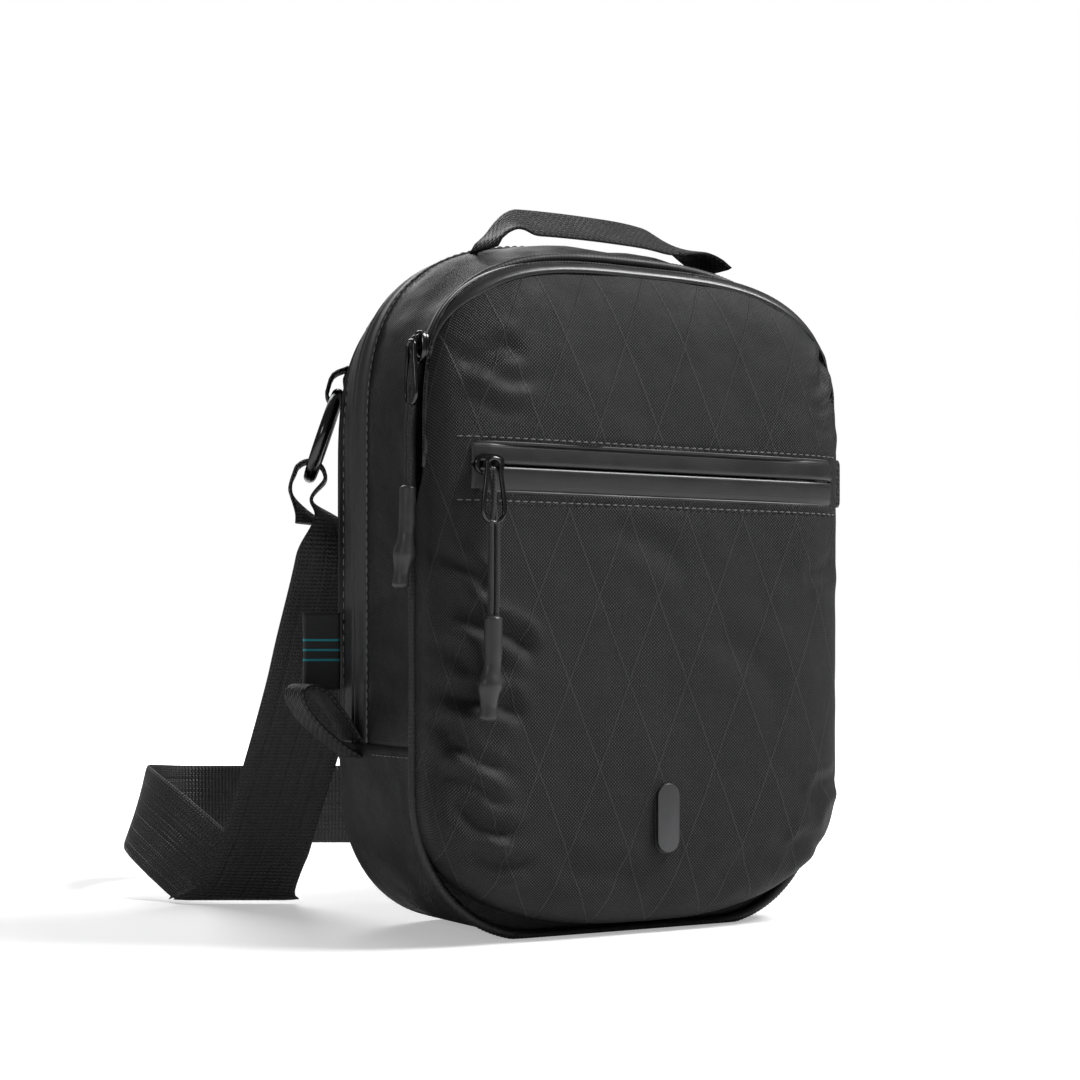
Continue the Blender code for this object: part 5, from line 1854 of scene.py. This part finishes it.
def make_bail(prefix, pivot, hang, across):
    made = tube(f"{prefix}_bail_wire", bail_points(pivot, hang, across), BAIL_WIRE, sides=12, closed=True)
    dress(made, "metal")
    settle(made, f"{prefix}_bail", "black_metal", f"{prefix}_bail")


def strands(name, route, across, spread, turns, radius, phase=0.0):
    """Two cords side by side that cross over as they go."""
    parts = []
    run = tangents(route)
    for side in (0, math.pi):
        line = []
        for i, point in enumerate(route):
            share = i / (len(route) - 1)
            wide = (across - run[i] * across.dot(run[i])).normalized()
            deep = run[i].cross(wide)
            t = phase + side + turns * 2 * math.pi * share
            size = spread[0] + (spread[1] - spread[0]) * share
            line.append(point + wide * size * math.cos(t) + deep * size * 0.75 * math.sin(t))
        parts.append(tube("strand", line, radius, sides=10))
    made = joined(name, parts)
    dress(made, "cord")
    return made


def make_pull(prefix, pivot, hang, across, drop, end, base):
    """Cords from the slider through the bail's foot, down to a shrunk sleeve."""
    top = pivot + hang * 2.6 * MM + base * 1.6 * MM
    foot = pivot + hang * BAIL_LENGTH
    inner = smooth_route([top, pivot + hang * 9 * MM + base * 0.5 * MM, pivot + hang * 17 * MM,
            foot - hang * 0.4 * MM], 8)
    made = strands(f"{prefix}_cord_hitch", inner, across, (0.7 * MM, 0.85 * MM), 0.5, 0.85 * MM)
    settle(made, f"{prefix}_bail", "cord")
    route = smooth_route([foot] + drop[1:], 10)
    pair = strands(f"{prefix}_cord_pair", route, across, (1.35 * MM, 1.2 * MM), 0.0, 1.15 * MM, math.pi)
    settle(pair, f"{prefix}_pull", "cord", f"{prefix}_cord")
    sleeve = make_sleeve(prefix, end, across)
    long = sum((b - a).length for a, b in zip(route, route[1:]))
    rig.cord(pair, exit=foot, length=round(long, 4), diameter=2.8 * MM, far_end="fitting",
            stiffness="medium", lay="hanging", path=route, with_pieces=[sleeve])


def make_sleeve(prefix, end, across):
    """Shrunk tube over the cord's end, with a bulge where it covers a knot."""
    points = smooth_route(end, 14)
    points = even(points, 0.9 * MM)
    run = tangents(points)
    rows = []
    uv = []
    count = len(points) - 1
    for i, point in enumerate(points):
        share = i / count
        wide = (across - run[i] * across.dot(run[i])).normalized()
        deep = run[i].cross(wide)
        size = 1.0 + 0.36 * bump(share, 0.66, 0.09) - 0.05 * bump(share, 0.46,
                0.05) - 0.06 * bump(share, 0.87, 0.05)
        end_round = min(1.0, 0.62 + 0.38 * ease(share / 0.02), 0.60 + 0.40 * ease((1 - share) / 0.025))
        row = []
        place = []
        for k in range(22):
            t = 2 * math.pi * k / 22
            crinkle = 1 + 0.035 * noise.noise(Vector((math.cos(t) * 1.5, math.sin(t) * 1.5, share * 13)))
            a = 3.55 * MM * size * end_round * crinkle
            b = 3.0 * MM * size * end_round * crinkle
            row.append(point + wide * a * math.cos(t) + deep * b * math.sin(t))
            place.append((k, share * 40))
        rows.append(row)
        uv.append(place)
    made = grid(f"{prefix}_sleeve", rows, uv, wrap=True)
    close_ends(made, 22)
    dress(made, "sleeve")
    settle(made, f"{prefix}_pull", "rubber", f"{prefix}_cord_end")
    return made


POCKET_SLIDER_X = -75 * MM
FRONT_SLIDER_Z, MAIN_SLIDER_Z = 226 * MM, 112 * MM


def make_pocket_pull():
    face = cover_y(POCKET_SLIDER_X, POCKET_Z)
    centre = Vector((POCKET_SLIDER_X, face - 0.4 * MM, POCKET_Z))
    slider_body("pocket_slider_metal", centre, Vector((1, 0, 0)), Vector((0, -1, 0)), "pocket_slider",
            "pocket_slider")
    pivot = Vector((POCKET_SLIDER_X, face - 5.2 * MM, POCKET_Z + 2 * MM))
    hang, across = Vector((0, 0, -1)), Vector((1, 0, 0))
    make_bail("pocket", pivot, hang, across)
    x, y, z = pivot + hang * BAIL_LENGTH
    drop = [Vector(p) * MM for p in ((0, 0, -1), (0, 0, -12), (-0.4, -0.6, -24), (-0.8, -0.8, -35.5))]
    end = [Vector(p) * MM for p in ((-0.8, -0.8, -34.8), (-1.0, -0.8, -52), (-2.4, -0.8, -63), (-3.0,
            -0.8, -74))]
    foot = Vector((x, y, z))
    make_pull("pocket", pivot, hang, across, [foot + p for p in drop], [foot + p for p in end],
            Vector((0, 1, 0)))


def make_side_pull(prefix, side, height, y, surface, drop_x):
    out = Vector((side, 0, 0))
    centre = Vector((surface + side * 1.0 * MM, y, height))
    slider_body(f"{prefix}_slider_metal", centre, Vector((0, 0, 1)), out, f"{prefix}_slider",
            f"{prefix}_slider")
    pivot = Vector((surface + side * 5.6 * MM, y, height + 2 * MM))
    hang, across = Vector((0, 0, -1)), Vector((0, 1, 0))
    make_bail(prefix, pivot, hang, across)
    foot = pivot + hang * BAIL_LENGTH
    drop = [(0, 0, -1), (0.6, 0.8, -9), (drop_x * 0.5, 0, -20), (drop_x, -0.5, -31)]
    end = [(drop_x, -0.5, -30.3), (drop_x + 0.5, -0.5, -47), (drop_x + 1.6, 0, -58), (drop_x + 3, 0, -69)]
    turn = Vector((side, 1, 1))
    drop = [foot + Vector(p) * MM * turn for p in drop]
    end = [foot + Vector(p) * MM * turn for p in end]
    make_pull(prefix, pivot, hang, across, drop, end, -out)


def make_pullers():
    make_pocket_pull()
    share = (FRONT_SLIDER_Z - TOP_SPRING) / COVER_TOP_RISE
    reach = COVER_HALF * (1 - share ** COVER_TOP_POWER) ** (1 / COVER_TOP_POWER)
    make_side_pull("front", -1, FRONT_SLIDER_Z, -28.5 * MM, -reach - 1.6 * MM, 1.5)
    make_side_pull("main", 1, MAIN_SLIDER_Z, Y_ZIP_LINE, body_size(Y_ZIP_LINE)[0] + 0.8 * MM, 1.0)


# ---------------------------------------------------------------- stitching

def outline_line(outline, y, proud):
    """(point, normal) pairs along a body outline."""
    points = outline
    found = []
    run = tangents(points)
    for point, along in zip(points, run):
        normal = along.cross(Vector((0, 1, 0)))
        if normal.dot(point - Vector((0, y, 140 * MM))) < 0:
            normal = -normal
        found.append((point + normal.normalized() * proud, normal.normalized()))
    return found


def make_stitching():
    fine = {"straight": 60, "steps": 60}
    front = Y_TAPE_FRONT - 2.0 * MM
    zip_front = outline_line(arch(front, 0, **fine), front, 0.45 * MM)
    hem = [(p, n) for y in (HEM_Z - 4 * MM,) for p, n in hem_lines(y)]
    lines = [zip_front, hem[:len(hem) // 2], hem[len(hem) // 2:]]
    made = stitches("body_stitching", lines, 2.4 * MM, 1.1 * MM, 0.24 * MM)
    settle(made, "bag_body", "shell_fabric")
    rear = Y_TAPE_REAR + 2.2 * MM
    made = stitches("rear_stitching", [outline_line(arch(rear, 0, **fine), rear, 0.35 * MM)],
                    2.9 * MM, 1.5 * MM, 0.24 * MM)
    settle(made, "back_panel", "shell_fabric")
    upper = welt_line(192.0 * MM, -87 * MM, 90 * MM, 0.1 * MM)
    lower = welt_line(168.2 * MM, -87 * MM, 90 * MM, 0.1 * MM)
    made = stitches("cover_stitching", [upper, lower], 2.3 * MM, 1.0 * MM, 0.25 * MM)
    settle(made, "front_panel", "shell_fabric")


def hem_lines(z):
    """Straight stitch lines along the lower gusset's hem, left then right."""
    found = []
    for side in (-1, 1):
        for i in range(30):
            y = lerp(Y_SEAM + 2 * MM, Y_BACK - 2 * MM, i / 29)
            half = body_size(y)[0]
            found.append((Vector((side * (half + 0.75 * MM), y, z)), Vector((side, 0, 0))))
    return found


# ---------------------------------------------------------------- studio

WORLD_LIGHT, NEAR_GLOW, FAR_GLOW = 0.13, 0.38, 0.95


def make_studio():
    floor = grid("floor", [[Vector((x, y, -0.4 * MM)) for x in (-6, 6)] for y in (-6, 6)])
    white = Graph("studio_floor", (0.96, 0.96, 0.96), 0.6)
    white.tint(white.math("MULTIPLY_ADD", white.noise(0.4), 0.02, 0.99))
    white.shader.inputs["Emission Color"].default_value = (1, 1, 1, 1)
    place = white.node("ShaderNodeSeparateXYZ", Vector=white.place())
    across = white.math("POWER", place.outputs[0], 2.0)
    along = white.math("POWER", place.outputs[1], 2.0)
    glow = white.ramp(white.math("ADD", across, along), 0.06, 1.0, NEAR_GLOW, FAR_GLOW)
    direct = white.tree.nodes.new("ShaderNodeLightPath").outputs["Is Camera Ray"]
    white.put(white.shader.inputs["Emission Strength"], white.math("MULTIPLY", glow, direct))
    floor.data.materials.append(white.material)
    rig.stage(floor)
    world = bpy.data.worlds.new("studio")
    bpy.context.scene.world = world
    world.use_nodes = True
    tree = world.node_tree
    seen = tree.nodes.new("ShaderNodeLightPath")
    level = tree.nodes.new("ShaderNodeMapRange")
    level.inputs["To Min"].default_value = WORLD_LIGHT
    level.inputs["To Max"].default_value = 1.0
    tree.links.new(seen.outputs["Is Camera Ray"], level.inputs["Value"])
    tree.links.new(level.outputs[0], tree.nodes["Background"].inputs["Strength"])
    tree.nodes["Background"].inputs["Color"].default_value = (1, 1, 1, 1)
    lights = (("key", (1.3, -0.9, 2.1), 0.8, 70.0), ("fill", (-2.2, -0.9, 1.0), 0.5, 5.0),
              ("rim", (0.3, 2.0, 1.9), 1.6, 34.0))
    for name, place, size, power in lights:
        light = bpy.data.lights.new(name, "AREA")
        light.size = size
        light.energy = power
        made = bpy.data.objects.new(name, light)
        bpy.context.scene.collection.objects.link(made)
        made.location = place
        made.rotation_euler = (Vector((0, 0, 0.13)) - Vector(place)).to_track_quat("-Z", "Y").to_euler()
    bpy.context.scene.view_settings.view_transform = "Standard"


def make_camera():
    data = bpy.data.cameras.new("camera")
    data.sensor_width = 36
    data.lens = 73.5
    data.shift_x = -0.1037
    data.shift_y = 0.1019
    data.clip_start = 0.05
    camera = bpy.data.objects.new("camera", data)
    bpy.context.scene.collection.objects.link(camera)
    camera.location = (-0.461, -0.778, 0.112)
    camera.rotation_euler = (math.radians(90), 0, math.radians(-32))
    bpy.context.scene.camera = camera


def write_size():
    lists = {"cad": [list(p) for p in CAD_BOX], "scene": [list(p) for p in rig.bounds()]}
    with open("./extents.json", "w") as file:
        json.dump(lists, file)


make_camera()
make_strap()
make_main_gusset()
make_lower_gusset()
make_seam_binding()
make_divider()
pouch("slip_pocket_cloth", "bag_body", "slip_pocket", 70 * MM, (24 * MM, 165 * MM),
      (Y_SEAM + 2.2 * MM, Y_SEAM + 7 * MM), 2.5 * MM)
make_lower_back()
make_bottom_board()
make_main_zip()
make_rear_strip()
make_back_shell()
make_back_pad()
make_back_lining()
make_label()
make_cover()
make_pocket_zip()
make_welts()
pouch("pocket_lining_cloth", "front_panel", "pocket_lining", 62 * MM, (66 * MM, 178 * MM),
      (-40 * MM, -34 * MM), 0.5 * MM)
make_badge()
make_front_zip()
make_front_gusset()
make_handle()
make_loops()
for ring_word, ring_side in (("left", -1), ("right", 1)):
    make_ring(ring_word, ring_side)
    make_ring_tab(ring_word, ring_side)
make_adjuster()
make_pullers()
make_stitching()
make_studio()
write_size()
